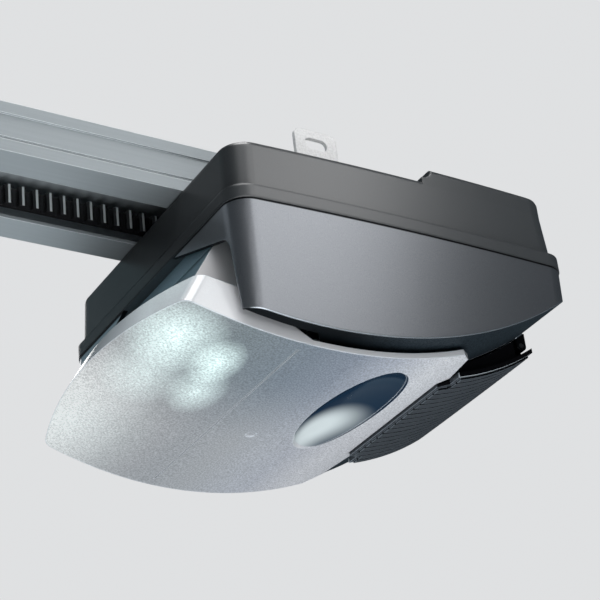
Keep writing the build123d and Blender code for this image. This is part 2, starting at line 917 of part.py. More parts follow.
# Ribbed service cover, hinged near its rear edge
rib_pitch = 2 * cover_half / rib_count
with BuildPart() as cover_ribs:
    for i in range(rib_count):
        rib_plane = Plane.XZ.offset(cover_half - rib_pitch * (i + 0.5) - rib_width / 2)
        add(cover_face(-rib_height, cover_sheet / 2, rib_plane))
        extrude(amount=rib_width, dir=(0, -1, 0))
with BuildPart() as rib_field:
    add(cover_outline(rib_inset))
    extrude(amount=lens_depth)
    add(cover_ribs.part, mode=Mode.INTERSECT)
# Skirts that close the gap to the hood, and the legs of the hinge knuckles
skirt_mid = opening_half - cover_skirt_gap - cover_skirt / 2
skirt_start = cover_start + lens_tab_reach + rib_inset
skirt_end = front + cover_pivot_offset - 2 * cover_knuckle_radius
with BuildPart() as cover_walls:
    for side in (-1, 1):
        with Locations((skirt_start, side * skirt_mid, deck - lens_depth)):
            Box(
                skirt_end - skirt_start, cover_skirt, lens_depth - seam_drop,
                align=(Align.MIN, Align.CENTER, Align.MIN),
            )
    add(hood_block(-cover_skirt_gap), mode=Mode.SUBTRACT)
    for side in (-1, 1):
        knuckle_place = side * (cover_knuckle_y + cover_knuckle_width / 2)
        with Locations((cover_pivot_x, knuckle_place, cover_pivot_z)):
            Box(
                2 * cover_knuckle_radius, cover_knuckle_width, 4 * cover_knuckle_radius,
                align=(Align.CENTER, Align.CENTER, Align.MAX),
            )
    add(cover_face(cover_sheet / 2, lens_depth, far_side))
    extrude(amount=full_span, dir=(0, -1, 0), mode=Mode.INTERSECT)
with BuildPart() as service_cover:
    add(cover_outline(0))
    extrude(amount=lens_depth)
    add(cover_face(0, cover_sheet, far_side))
    extrude(amount=full_span, dir=(0, -1, 0), mode=Mode.INTERSECT)
    add(rib_field.part)
    add(cover_walls.part)
    knuckle_mid = cover_knuckle_y + cover_knuckle_width / 2
    for side in (-1, 1):
        with Locations((cover_pivot_x, side * knuckle_mid, cover_pivot_z)):
            Cylinder(cover_knuckle_radius, cover_knuckle_width, rotation=(90, 0, 0))
        with Locations((cover_pivot_x, side * knuckle_mid, cover_pivot_z)):
            Cylinder(
                cover_pin_radius + run_gap, 2 * cover_knuckle_width,
                rotation=(90, 0, 0), mode=Mode.SUBTRACT,
            )
        with Locations((cover_pivot_x, side * lug_mid, cover_pivot_z)):
            Cylinder(
                cover_knuckle_radius + cover_lug_gap, cover_lug_width + 2 * slide_gap,
                rotation=(90, 0, 0), mode=Mode.SUBTRACT,
            )
service_cover.part.label = "service_cover"
export_step(service_cover.part, "parts/service_cover.step")

with BuildPart() as cover_pins:
    pin_in = cover_knuckle_y + 0.5
    pin_length = lug_mid + cover_lug_width / 2 - pin_in
    for side in (-1, 1):
        with Locations((cover_pivot_x, side * (pin_in + pin_length / 2), cover_pivot_z)):
            Cylinder(cover_pin_radius, pin_length, rotation=(90, 0, 0))
cover_pins.part.label = "cover_pins"
export_step(cover_pins.part, "parts/cover_pins.step")

# Control tray on the hood's floor, with three push buttons and a display
button_places = [
    (tray_mid_x + button_x, button_y + button_pitch * i) for i in (-1, 0, 1)
]
tray_seat = hood_block(wall + seat_gap)
with BuildPart() as tray_feet:
    for side in (-1, 1):
        with Locations((tray_mid_x, side * (tray_half - tray_foot / 2), tray_z)):
            Box(
                tray_length, tray_foot, hood_depth - tray_drop,
                align=(Align.CENTER, Align.CENTER, Align.MAX),
            )
    add(tray_seat, mode=Mode.INTERSECT)
with BuildPart() as control_tray:
    with Locations((tray_mid_x, 0, tray_z)):
        Box(
            tray_length, 2 * tray_half, tray_sheet,
            align=(Align.CENTER, Align.CENTER, Align.MAX),
        )
    add(tray_feet.part)
    with Locations(*[(x, y, tray_z - tray_sheet / 2) for x, y in board_post_places]):
        Cylinder(
            board_post_radius, board_rise + tray_sheet / 2,
            align=(Align.CENTER, Align.CENTER, Align.MIN),
        )
    with Locations(*[(x, y, tray_z) for x, y in board_post_places]):
        Cylinder(lamp_screw_radius + screw_gap, 4 * board_rise, mode=Mode.SUBTRACT)
    with Locations(*[(x, y, tray_z) for x, y in button_places]):
        Cylinder(button_stem + run_gap, 4 * tray_sheet, mode=Mode.SUBTRACT)
control_tray.part.label = "control_tray"
export_step(control_tray.part, "parts/control_tray.step")


def button_solid(place):
    """Push button: cap below the tray and a stem through it."""
    cap_top = tray_z - tray_sheet - button_gap
    with BuildPart(mode=Mode.PRIVATE) as solid:
        with Locations((place[0], place[1], cap_top)):
            Cylinder(
                button_radius, button_height, align=(Align.CENTER, Align.CENTER, Align.MAX)
            )
            Cylinder(
                button_stem, button_gap + tray_sheet + button_stem_top,
                align=(Align.CENTER, Align.CENTER, Align.MIN),
            )
        fillet(solid.faces().sort_by(Axis.Z)[0].edges(), 0.8)
    return solid.part


with BuildPart() as button_up:
    add(button_solid(button_places[0]))
button_up.part.label = "button_up"
export_step(button_up.part, "parts/button_up.step")

with BuildPart() as button_program:
    add(button_solid(button_places[1]))
button_program.part.label = "button_program"
export_step(button_program.part, "parts/button_program.step")

with BuildPart() as button_down:
    add(button_solid(button_places[2]))
button_down.part.label = "button_down"
export_step(button_down.part, "parts/button_down.step")

with BuildPart() as display_window:
    with Locations((tray_mid_x + button_x, display_y, tray_z - tray_sheet)):
        Box(
            display_length, display_width, display_sheet,
            align=(Align.CENTER, Align.CENTER, Align.MAX),
        )
display_window.part.label = "display_window"
export_step(display_window.part, "parts/display_window.step")

# Control board on the tray's posts, with its larger components
board_low = tray_z + board_rise
board_top = board_low + board_sheet
with BuildPart() as control_board:
    with BuildSketch(Plane.XY.offset(board_low)):
        with Locations((tray_mid_x, 0)):
            Rectangle(tray_length, 2 * board_half)
        with Locations(*board_post_places):
            Circle(lamp_screw_radius + screw_gap, mode=Mode.SUBTRACT)
    extrude(amount=board_sheet)
control_board.part.label = "control_board"
export_step(control_board.part, "parts/control_board.step")

with BuildPart() as board_screws:
    with Locations(*[(x, y, board_top) for x, y in board_post_places]):
        Cylinder(
            lamp_screw_head, lamp_screw_head_height,
            align=(Align.CENTER, Align.CENTER, Align.MIN),
        )
        Cylinder(
            lamp_screw_radius, board_sheet + board_rise,
            align=(Align.CENTER, Align.CENTER, Align.MAX),
        )
board_screws.part.label = "board_screws"
export_step(board_screws.part, "parts/board_screws.step")

with BuildPart() as relays:
    with Locations((tray_mid_x, 0, board_top)):
        with GridLocations(0, 2 * relay_size, 1, 2):
            Box(
                relay_size, relay_size, relay_height,
                align=(Align.CENTER, Align.CENTER, Align.MIN),
            )
relays.part.label = "relays"
export_step(relays.part, "parts/relays.step")

with BuildPart() as capacitors:
    with Locations((tray_mid_x - 6, -36, board_top), (tray_mid_x + 7, -36, board_top)):
        Cylinder(
            capacitor_radius, capacitor_height,
            align=(Align.CENTER, Align.CENTER, Align.MIN),
        )
capacitors.part.label = "capacitors"
export_step(capacitors.part, "parts/capacitors.step")

with BuildPart() as terminal_block:
    with Locations((tray_mid_x, 38, board_top)):
        Box(
            terminal_length * 0.8, terminal_width, terminal_height,
            align=(Align.CENTER, Align.CENTER, Align.MIN),
        )
terminal_block.part.label = "terminal_block"
export_step(terminal_block.part, "parts/terminal_block.step")

# Transformer under the deck: core, coil on the middle limb, strap and screws
core_top = deck_under
core_mid = core_top - core_height / 2
with BuildPart() as transformer_core:
    with Locations((core_x, core_y, core_mid)):
        Box(core_length, core_width, core_height)
        with GridLocations(core_limb + window_width, 0, 2, 1):
            Box(window_width, 2 * core_width, window_height, mode=Mode.SUBTRACT)
transformer_core.part.label = "transformer_core"
export_step(transformer_core.part, "parts/transformer_core.step")

with BuildPart() as transformer_coil:
    with Locations((core_x, core_y, core_mid)):
        Box(
            core_limb + 2 * window_width - 2 * coil_gap,
            core_width + 2 * coil_over,
            window_height - 2 * screw_gap,
        )
        Box(
            core_limb + 2 * screw_gap, core_width + 2 * screw_gap, 2 * window_height,
            mode=Mode.SUBTRACT,
        )
    fillet(transformer_coil.edges().filter_by(Axis.Z).group_by(SortBy.DISTANCE)[-1], 4)
transformer_coil.part.label = "transformer_coil"
export_step(transformer_coil.part, "parts/transformer_coil.step")

with BuildPart() as transformer_strap:
    strap_half = core_width / 2 + screw_gap
    strap_low = core_height + screw_gap
    with BuildSketch(Plane.YZ.offset(strap_x)):
        with Locations((core_y, deck_under)):
            Rectangle(
                2 * (strap_half + strap_sheet), strap_low + strap_sheet,
                align=(Align.CENTER, Align.MAX),
            )
            Rectangle(
                2 * (strap_half + strap_sheet + strap_foot), strap_sheet,
                align=(Align.CENTER, Align.MAX),
            )
            Rectangle(2 * strap_half, strap_low, align=(Align.CENTER, Align.MAX), mode=Mode.SUBTRACT)
    extrude(amount=strap_width / 2, both=True)
    with Locations(*[(x, y, deck_under) for x, y in strap_screw_places]):
        Cylinder(screw_radius + screw_gap, 4 * strap_sheet, mode=Mode.SUBTRACT)
transformer_strap.part.label = "transformer_strap"
export_step(transformer_strap.part, "parts/transformer_strap.step")

with BuildPart() as transformer_screws:
    with Locations(*[(x, y, deck_under - strap_sheet) for x, y in strap_screw_places]):
        Cylinder(
            screw_head, screw_head_height, align=(Align.CENTER, Align.CENTER, Align.MAX)
        )
        Cylinder(
            screw_radius, strap_sheet + screw_bite - screw_gap,
            align=(Align.CENTER, Align.CENTER, Align.MIN),
        )
transformer_screws.part.label = "transformer_screws"
export_step(transformer_screws.part, "parts/transformer_screws.step")

# Gearbox lid under the deck
flange_mid_x = (case_front + case_rear) / 2
flange_mid_y = (flange_near + flange_far) / 2
flange_length = case_rear - case_front
flange_width = flange_far - flange_near
with BuildPart() as gearbox_lid:
    with BuildSketch(Plane.XY.offset(lid_low)):
        with Locations((flange_mid_x, flange_mid_y)):
            RectangleRounded(flange_length, flange_width, 4)
        Circle(shaft_radius + bearing_out + screw_gap, mode=Mode.SUBTRACT)
        with Locations(*gear_screw_places):
            Circle(screw_radius + screw_gap, mode=Mode.SUBTRACT)
    extrude(amount=lid_sheet)
gearbox_lid.part.label = "gearbox_lid"
export_step(gearbox_lid.part, "parts/gearbox_lid.step")

# Gearbox case: round cup for the worm wheel and a bored block for the worm
with BuildPart() as gearbox_case:
    with BuildSketch(Plane.XY.offset(case_low)):
        Circle(wheel_radius + gear_room + case_wall)
        with Locations((flange_mid_x, case_side / 2)):
            Rectangle(flange_length, case_side)
    extrude(amount=lid_low - case_low)
    with BuildSketch(Plane.XY.offset(lid_low - flange_plate)):
        with Locations((flange_mid_x, flange_mid_y)):
            RectangleRounded(flange_length, flange_width, 4)
    extrude(amount=flange_plate)
    with BuildSketch(Plane.XY.offset(case_low + case_floor)):
        Circle(wheel_radius + gear_room)
    extrude(amount=case_drop, mode=Mode.SUBTRACT)
    with Locations((0, 0, case_low)):
        Cylinder(shaft_radius + bearing_out + screw_gap, 4 * case_floor, mode=Mode.SUBTRACT)
    with Locations((case_front + case_wall + 1, worm_y, worm_z)):
        Cylinder(
            bore_radius, flange_length, rotation=(0, 90, 0),
            align=(Align.CENTER, Align.CENTER, Align.MIN), mode=Mode.SUBTRACT,
        )
    with Locations(*[(x, y, lid_low) for x, y in gear_screw_places]):
        Cylinder(screw_radius + screw_gap, 4 * flange_plate, mode=Mode.SUBTRACT)
    for side in (-1, 1):
        with Locations((case_rear, worm_y - motor_screw_side, worm_z + side * motor_screw_spread / 2)):
            Cylinder(
                screw_radius + screw_gap, 2 * motor_screw_length + 1, rotation=(0, 90, 0),
                mode=Mode.SUBTRACT,
            )
gearbox_case.part.label = "gearbox_case"
export_step(gearbox_case.part, "parts/gearbox_case.step")

with BuildPart() as gearbox_screws:
    with Locations(*[(x, y, lid_low - flange_plate) for x, y in gear_screw_places]):
        Cylinder(
            screw_head, screw_head_height, align=(Align.CENTER, Align.CENTER, Align.MAX)
        )
        Cylinder(
            screw_radius, flange_plate + lid_sheet + screw_bite - screw_gap,
            align=(Align.CENTER, Align.CENTER, Align.MIN),
        )
gearbox_screws.part.label = "gearbox_screws"
export_step(gearbox_screws.part, "parts/gearbox_screws.step")


def bush_solid(inner, width):
    """Plain bearing bush standing on the XY plane."""
    with BuildPart(mode=Mode.PRIVATE) as bush:
        with BuildSketch():
            Circle(inner + bearing_out)
            Circle(inner + run_gap, mode=Mode.SUBTRACT)
        extrude(amount=width)
    return bush.part


shaft_bush = bush_solid(shaft_radius, bearing_width)
with BuildPart() as shaft_bearings:
    add(shaft_bush.moved(Location((0, 0, case_low))))
    add(shaft_bush.moved(Location((0, 0, lid_low))))
shaft_bearings.part.label = "shaft_bearings"
export_step(shaft_bearings.part, "parts/shaft_bearings.step")

# Output shaft with its worm wheel, belt pulley and clip
shaft_low = case_low + 0.5
shaft_high = pulley_high + 2.5
with BuildPart() as output_shaft:
    with BuildSketch(Plane.XY.offset(shaft_low)):
        Circle(shaft_radius)
    extrude(amount=shaft_high - shaft_low)
    chamfer(output_shaft.faces().sort_by(Axis.Z)[-1].edges(), 0.8)
output_shaft.part.label = "output_shaft"
export_step(output_shaft.part, "parts/output_shaft.step")

with BuildPart() as worm_wheel:
    with BuildSketch(Plane.XY.offset(worm_z - wheel_width / 2)):
        Circle(wheel_radius)
        with PolarLocations(wheel_radius, wheel_teeth):
            Circle(wheel_tooth_depth * 0.65, mode=Mode.SUBTRACT)
        Circle(shaft_radius + press_gap, mode=Mode.SUBTRACT)
    extrude(amount=wheel_width)
worm_wheel.part.label = "worm_wheel"
export_step(worm_wheel.part, "parts/worm_wheel.step")


def pulley_solid(bore, hub_low, hub_high):
    """Flanged pulley on the Z axis with tooth grooves, a hub and a bore."""
    with BuildPart(mode=Mode.PRIVATE) as solid:
        with BuildSketch(Plane.XY.offset(pulley_low)):
            Circle(pulley_radius)
            with PolarLocations(pulley_radius + 0.6, pulley_teeth, start_angle=180 / pulley_teeth):
                Circle(tooth_radius, mode=Mode.SUBTRACT)
        extrude(amount=pulley_high - pulley_low)
        with BuildSketch(Plane.XY.offset(pulley_low), Plane.XY.offset(pulley_high - flange_sheet)):
            Circle(flange_radius)
        extrude(amount=flange_sheet)
        with BuildSketch(Plane.XY.offset(hub_low)):
            Circle(hub_radius)
        extrude(amount=hub_high - hub_low)
        with BuildSketch(Plane.XY.offset(hub_low)):
            Circle(bore)
        extrude(amount=hub_high - hub_low, mode=Mode.SUBTRACT)
    return solid.part


with BuildPart() as drive_pulley:
    add(pulley_solid(shaft_radius + press_gap, lid_low + bearing_width + 0.1, pulley_high))
drive_pulley.part.label = "drive_pulley"
export_step(drive_pulley.part, "parts/drive_pulley.step")

with BuildPart() as pulley_clip:
    with BuildSketch(Plane.XY.offset(pulley_high)):
        Circle(hub_radius - 0.5)
        Circle(shaft_radius + press_gap, mode=Mode.SUBTRACT)
        with Locations((hub_radius / 2 + 1, 0)):
            Rectangle(hub_radius + 2, shaft_radius, mode=Mode.SUBTRACT)
    extrude(amount=1.2)
pulley_clip.part.label = "pulley_clip"
export_step(pulley_clip.part, "parts/pulley_clip.step")

# Worm shaft, armature and their bushes, on an axis along the rail
worm_plane = Plane((0, worm_y, worm_z), z_dir=(1, 0, 0))
worm_start = case_front + case_wall + 1
cap_x = case_rear + can_length
with BuildPart() as worm_shaft:
    with BuildSketch(worm_plane.offset(worm_start + 0.1)):
        Circle(worm_shaft_radius)
    extrude(amount=cap_x + 0.8 - worm_start)
    with BuildSketch(worm_plane.offset(-worm_length / 2)):
        Circle(worm_radius - wheel_tooth_depth)
    extrude(amount=worm_length)
    ring_count = int(worm_length / worm_pitch)
    for i in range(ring_count):
        ring_x = (i - (ring_count - 1) / 2) * worm_pitch
        with BuildSketch(worm_plane.offset(ring_x - worm_pitch / 4)):
            Circle(worm_radius)
        extrude(amount=worm_pitch / 2)
worm_shaft.part.label = "worm_shaft"
export_step(worm_shaft.part, "parts/worm_shaft.step")

with BuildPart() as armature:
    with BuildSketch(worm_plane.offset(case_rear + armature_start)):
        Circle(armature_radius)
        with PolarLocations(armature_radius, 9):
            Circle(2.2, mode=Mode.SUBTRACT)
        Circle(worm_shaft_radius + press_gap, mode=Mode.SUBTRACT)
    extrude(amount=armature_length)
    with BuildSketch(worm_plane.offset(case_rear + armature_start + armature_length)):
        Circle(commutator_radius)
        Circle(worm_shaft_radius + press_gap, mode=Mode.SUBTRACT)
    extrude(amount=commutator_length)
armature.part.label = "armature"
export_step(armature.part, "parts/armature.step")

worm_bush = bush_solid(worm_shaft_radius, bearing_width)
with BuildPart() as worm_bearings:
    add(worm_plane.offset(worm_start) * worm_bush)
    add(worm_plane.offset(cap_x + 1 - bearing_width) * worm_bush)
worm_bearings.part.label = "worm_bearings"
export_step(worm_bearings.part, "parts/worm_bearings.step")

# Motor can on the gearbox's rear face, closed by an end cap
can_inner = can_radius - can_wall
motor_screw_places = [
    (case_rear + can_wall, worm_y - motor_screw_side, worm_z + side * motor_screw_spread / 2)
    for side in (-1, 1)
]
with BuildPart() as motor_can:
    with BuildSketch(worm_plane.offset(case_rear)):
        Circle(can_radius)
    extrude(amount=can_length)
    with BuildSketch(worm_plane.offset(case_rear + can_wall)):
        Circle(can_inner)
    extrude(amount=can_length, mode=Mode.SUBTRACT)
    with BuildSketch(worm_plane.offset(case_rear)):
        Circle(can_hole)
    extrude(amount=can_wall, mode=Mode.SUBTRACT)
    with Locations(*motor_screw_places):
        Cylinder(screw_radius + screw_gap, 4 * can_wall, rotation=(0, 90, 0), mode=Mode.SUBTRACT)
motor_can.part.label = "motor_can"
export_step(motor_can.part, "parts/motor_can.step")

with BuildPart() as motor_screws:
    with Locations(*motor_screw_places):
        Cylinder(
            screw_head, screw_head_height, rotation=(0, 90, 0),
            align=(Align.CENTER, Align.CENTER, Align.MIN),
        )
        Cylinder(
            screw_radius, can_wall + motor_screw_length, rotation=(0, 90, 0),
            align=(Align.CENTER, Align.CENTER, Align.MAX),
        )
motor_screws.part.label = "motor_screws"
export_step(motor_screws.part, "parts/motor_screws.step")

with BuildPart() as motor_end_cap:
    with BuildSketch(worm_plane.offset(cap_x - cap_plug)):
        Circle(can_inner - screw_gap)
    extrude(amount=cap_plug)
    with BuildSketch(worm_plane.offset(cap_x)):
        Circle(can_radius)
    extrude(amount=cap_sheet)
    with BuildSketch(worm_plane.offset(cap_x - cap_plug)):
        Circle(bore_radius)
    extrude(amount=cap_plug + 1 + screw_gap, mode=Mode.SUBTRACT)
motor_end_cap.part.label = "motor_end_cap"
export_step(motor_end_cap.part, "parts/motor_end_cap.step")

# Rail: wide channel with two bottom lips, a proud top strip and a groove in each side
rail_side = [
    (rail_slot_half, 0),
    (rail_half, 0),
    (rail_half, rail_groove_height - rail_groove_width / 2),
    (rail_half - rail_groove_depth, rail_groove_height - rail_groove_width / 2),
    (rail_half - rail_groove_depth, rail_groove_height + rail_groove_width / 2),
    (rail_half, rail_groove_height + rail_groove_width / 2),
    (rail_half, rail_height - rail_crown_height),
    (rail_half + rail_crown, rail_height - rail_crown_height),
    (rail_half + rail_crown, rail_height),
]
rail_inside = [
    (rail_half - rail_wall, rail_height - rail_wall),
    (rail_half - rail_wall, rail_wall),
    (rail_slot_half, rail_wall),
]
rail_loop = [(y, deck + z) for y, z in rail_side]
rail_loop += [(-y, deck + z) for y, z in reversed(rail_side)]
rail_loop += [(-y, deck + z) for y, z in reversed(rail_inside)]
rail_loop += [(y, deck + z) for y, z in rail_inside]
with BuildPart() as rail:
    with BuildSketch(Plane.YZ.offset(rail_front)):
        with BuildLine():
            Polyline(*rail_loop, close=True)
        make_face()
    extrude(amount=rail_rear - rail_front)
    with Locations(*[(x, y, deck) for x, y in rail_screw_places]):
        Cylinder(screw_radius + screw_gap, 4 * rail_wall, mode=Mode.SUBTRACT)
rail.part.label = "rail"
export_step(rail.part, "parts/rail.step")

with BuildPart() as rail_screws:
    with Locations(*[(x, y, deck + rail_wall) for x, y in rail_screw_places]):
        Cylinder(
            screw_head, screw_head_height, align=(Align.CENTER, Align.CENTER, Align.MIN)
        )
        Cylinder(
            screw_radius, rail_wall + deck_sheet - 0.2,
            align=(Align.CENTER, Align.CENTER, Align.MAX),
        )
rail_screws.part.label = "rail_screws"
export_step(rail_screws.part, "parts/rail_screws.step")

# Toothed belt: closed loop, its teeth on the straight runs
belt_outer = pitch_radius + belt_back
belt_inner = pitch_radius - belt_land
tooth_places = [
    (-pitch * i, side * (belt_inner - tooth_sink))
    for i in range(tooth_start, straight_pitches - tooth_start + 1)
    for side in (-1, 1)
]
with BuildPart() as belt:
    with BuildSketch(Plane.XY.offset(belt_low)):
        with Locations((idler_x / 2, 0)):
            SlotCenterToCenter(-idler_x, 2 * belt_outer)
            SlotCenterToCenter(-idler_x, 2 * belt_inner, mode=Mode.SUBTRACT)
        with Locations(*tooth_places):
            Circle(tooth_radius)
    extrude(amount=belt_width)
belt.part.label = "belt"
export_step(belt.part, "parts/belt.step")


def ear_solid(side):
    """Slotted ceiling ear: foot on the deck and an upright with a rounded top."""
    with BuildPart(mode=Mode.PRIVATE) as solid:
        with Locations((0, side * (ear_y + ear_sheet / 2), deck)):
            Box(
                ear_width, ear_foot_length, ear_sheet,
                align=(Align.CENTER, Align.MAX if side > 0 else Align.MIN, Align.MIN),
            )
        with BuildSketch(Plane.XZ.offset(-side * ear_y)) as upright:
            with Locations((0, deck)):
                Rectangle(ear_width, ear_top - deck, align=(Align.CENTER, Align.MIN))
            fillet(upright.vertices().group_by(Axis.Y)[-1], 4)
            SlotOverall(slot_length, slot_width, mode=Mode.SUBTRACT)
        extrude(amount=ear_sheet / 2, both=True)
        with Locations(*[(x, y, deck) for x, y in ear_screw_places if y * side > 0]):
            Cylinder(screw_radius + screw_gap, 4 * ear_sheet, mode=Mode.SUBTRACT)
    return solid.part


with BuildPart() as ear_near:
    add(ear_solid(-1))
ear_near.part.label = "ear_near"
export_step(ear_near.part, "parts/ear_near.step")

with BuildPart() as ear_far:
    add(ear_solid(1))
ear_far.part.label = "ear_far"
export_step(ear_far.part, "parts/ear_far.step")

with BuildPart() as ear_screws:
    with Locations(*[(x, y, deck + ear_sheet) for x, y in ear_screw_places]):
        Cylinder(
            screw_head, screw_head_height, align=(Align.CENTER, Align.CENTER, Align.MIN)
        )
        Cylinder(
            screw_radius, ear_sheet + deck_sheet - 0.2,
            align=(Align.CENTER, Align.CENTER, Align.MAX),
        )
ear_screws.part.label = "ear_screws"
export_step(ear_screws.part, "parts/ear_screws.step")

# Mains inlet in the rear wall, with three blades in its pocket
inlet_face = rear + end_bow + draft_out + inlet_flange
inlet_z = deck - inlet_drop
with BuildPart() as mains_inlet:
    with Locations((inlet_face, inlet_y, inlet_z)):
        Box(
            inlet_depth, inlet_width, inlet_height,
            align=(Align.MAX, Align.CENTER, Align.CENTER),
        )
        Box(
            inlet_flange, inlet_width + 2 * inlet_rim, inlet_height + 2 * inlet_rim,
            align=(Align.MAX, Align.CENTER, Align.CENTER),
        )
        Box(
            inlet_pocket, inlet_width - 5, inlet_height - 5,
            align=(Align.MAX, Align.CENTER, Align.CENTER), mode=Mode.SUBTRACT,
        )
mains_inlet.part.label = "mains_inlet"
export_step(mains_inlet.part, "parts/mains_inlet.step")

with BuildPart() as inlet_blades:
    with Locations((inlet_face - inlet_pocket, inlet_y, inlet_z)):
        with GridLocations(0, blade_pitch, 1, 3):
            Box(
                blade_length, blade_sheet, blade_width,
                align=(Align.MIN, Align.CENTER, Align.CENTER),
            )
inlet_blades.part.label = "inlet_blades"
export_step(inlet_blades.part, "parts/inlet_blades.step")

# Idler at the door end: fork with a threaded stud, axle, pulley, nut and wall bracket
fork_low = deck + rail_wall + fork_lift
fork_high = deck + rail_height - rail_wall - fork_lift
fork_start = rail_front + fork_inset
with BuildPart() as idler_fork:
    with Locations((fork_start, 0, fork_low), (fork_start, 0, fork_high - fork_sheet)):
        Box(
            idler_x + fork_reach - fork_start, 2 * fork_half, fork_sheet,
            align=(Align.MIN, Align.CENTER, Align.MIN),
        )
    with Locations((fork_start, 0, fork_low)):
        Box(
            fork_web, 2 * fork_half, fork_high - fork_low,
            align=(Align.MIN, Align.CENTER, Align.MIN),
        )
    stud_length = fork_start - rail_front + bracket_sheet + nut_height + stud_over
    with Locations((fork_start, 0, belt_z)):
        Cylinder(
            stud_radius, stud_length, rotation=(0, 90, 0),
            align=(Align.CENTER, Align.CENTER, Align.MAX),
        )
    with Locations((idler_x, 0, belt_z)):
        Cylinder(axle_radius + screw_gap, 2 * rail_height, mode=Mode.SUBTRACT)
idler_fork.part.label = "idler_fork"
export_step(idler_fork.part, "parts/idler_fork.step")

with BuildPart() as idler_axle:
    with BuildSketch(Plane.XY.offset(fork_low)):
        with Locations((idler_x, 0)):
            Circle(axle_radius)
    extrude(amount=fork_high - fork_low)
idler_axle.part.label = "idler_axle"
export_step(idler_axle.part, "parts/idler_axle.step")

idler_form = pulley_solid(
    axle_radius + run_gap, fork_low + fork_sheet + 0.1, fork_high - fork_sheet - 0.1
)
with BuildPart() as idler_pulley:
    add(idler_form.moved(Location((idler_x, 0, 0))))
idler_pulley.part.label = "idler_pulley"
export_step(idler_pulley.part, "parts/idler_pulley.step")

with BuildPart() as wall_bracket:
    crown_half = rail_half + rail_crown
    bracket_back = rail_front - bracket_depth
    with BuildSketch(Plane.XY.offset(deck)):
        with BuildLine():
            Polyline(
                (rail_front, -crown_half),
                (rail_front, crown_half),
                (bracket_back + bracket_sheet, crown_half),
                (bracket_back + bracket_sheet, crown_half + bracket_wing),
                (bracket_back, crown_half + bracket_wing),
                (bracket_back, crown_half - bracket_sheet),
                (rail_front - bracket_sheet, crown_half - bracket_sheet),
                (rail_front - bracket_sheet, -crown_half + bracket_sheet),
                (bracket_back, -crown_half + bracket_sheet),
                (bracket_back, -crown_half - bracket_wing),
                (bracket_back + bracket_sheet, -crown_half - bracket_wing),
                (bracket_back + bracket_sheet, -crown_half),
                close=True,
            )
        make_face()
    extrude(amount=rail_height)
    with Locations((rail_front, 0, belt_z)):
        Cylinder(
            stud_radius + screw_gap, 4 * bracket_sheet, rotation=(0, 90, 0), mode=Mode.SUBTRACT
        )
    with Locations((bracket_back, 0, deck + rail_height / 2)):
        with GridLocations(0, wall_hole_spread, 1, 2):
            Cylinder(wall_hole, 4 * bracket_sheet, rotation=(0, 90, 0), mode=Mode.SUBTRACT)
wall_bracket.part.label = "wall_bracket"
export_step(wall_bracket.part, "parts/wall_bracket.step")

with BuildPart() as tension_nut:
    nut_plane = Plane((rail_front - bracket_sheet - nut_height, 0, belt_z), z_dir=(1, 0, 0))
    with BuildSketch(nut_plane):
        RegularPolygon(nut_across / 2, 6, major_radius=False)
        Circle(stud_radius + screw_gap, mode=Mode.SUBTRACT)
    extrude(amount=nut_height)
tension_nut.part.label = "tension_nut"
export_step(tension_nut.part, "parts/tension_nut.step")

# Trolley: shoe on the lips, neck through the slot, block below with a clevis for the door arm
shoe_low = deck + rail_wall + lip_gap
shoe_top = shoe_low + shoe_sheet
block_top = deck - hang_gap
block_low = block_top - block_height
lever_pivot_x = trolley_x + lever_x
lever_pivot_z = deck - lever_drop
arm_x = trolley_x + arm_hole_x
with BuildPart() as trolley_body:
    with Locations((trolley_x, 0, shoe_low)):
        Box(
            trolley_length, 2 * shoe_half, shoe_sheet,
            align=(Align.CENTER, Align.CENTER, Align.MIN),
        )
    with Locations((trolley_x, 0, block_top)):
        Box(
            block_length, 2 * neck_half, shoe_low - block_top,
            align=(Align.CENTER, Align.CENTER, Align.MIN),
        )
        Box(
            block_length, 2 * block_half, block_height,
            align=(Align.CENTER, Align.CENTER, Align.MAX),
        )
    with Locations((trolley_x - block_length / 2, 0, block_low)):
        Box(
            clevis_length, clevis_gap, block_height - 5,
            align=(Align.MIN, Align.CENTER, Align.MIN), mode=Mode.SUBTRACT,
        )
    with Locations((arm_x, 0, deck - arm_hole_drop)):
        Cylinder(arm_hole, 4 * block_half, rotation=(90, 0, 0), mode=Mode.SUBTRACT)
    with Locations((lever_pivot_x, block_half, lever_pivot_z)):
        Cylinder(
            lever_pin_radius + screw_gap, 2 * lever_pin_depth, rotation=(90, 0, 0),
            mode=Mode.SUBTRACT,
        )
    with Locations((trolley_x + latch_x, 0, deck)):
        Cylinder(latch_radius + run_gap, 4 * block_height, mode=Mode.SUBTRACT)
trolley_body.part.label = "trolley_body"
export_step(trolley_body.part, "parts/trolley_body.step")

# Clamp of the trolley around the near run of the belt
with BuildPart() as belt_clamp:
    run_out = belt_outer + slide_gap
    run_in = belt_inner - tooth_sink - tooth_radius - slide_gap
    clamp_mid = -(run_out + run_in) / 2
    channel_low = belt_low - slide_gap
    channel_high = belt_high + slide_gap
    with Locations((trolley_x, clamp_mid, shoe_top)):
        Box(
            clamp_length, run_out - run_in + 2 * clamp_wall,
            channel_high + clamp_wall - shoe_top,
            align=(Align.CENTER, Align.CENTER, Align.MIN),
        )
    with Locations((trolley_x, clamp_mid, channel_low)):
        Box(
            2 * clamp_length, run_out - run_in, channel_high - channel_low,
            align=(Align.CENTER, Align.CENTER, Align.MIN), mode=Mode.SUBTRACT,
        )
belt_clamp.part.label = "belt_clamp"
export_step(belt_clamp.part, "parts/belt_clamp.step")

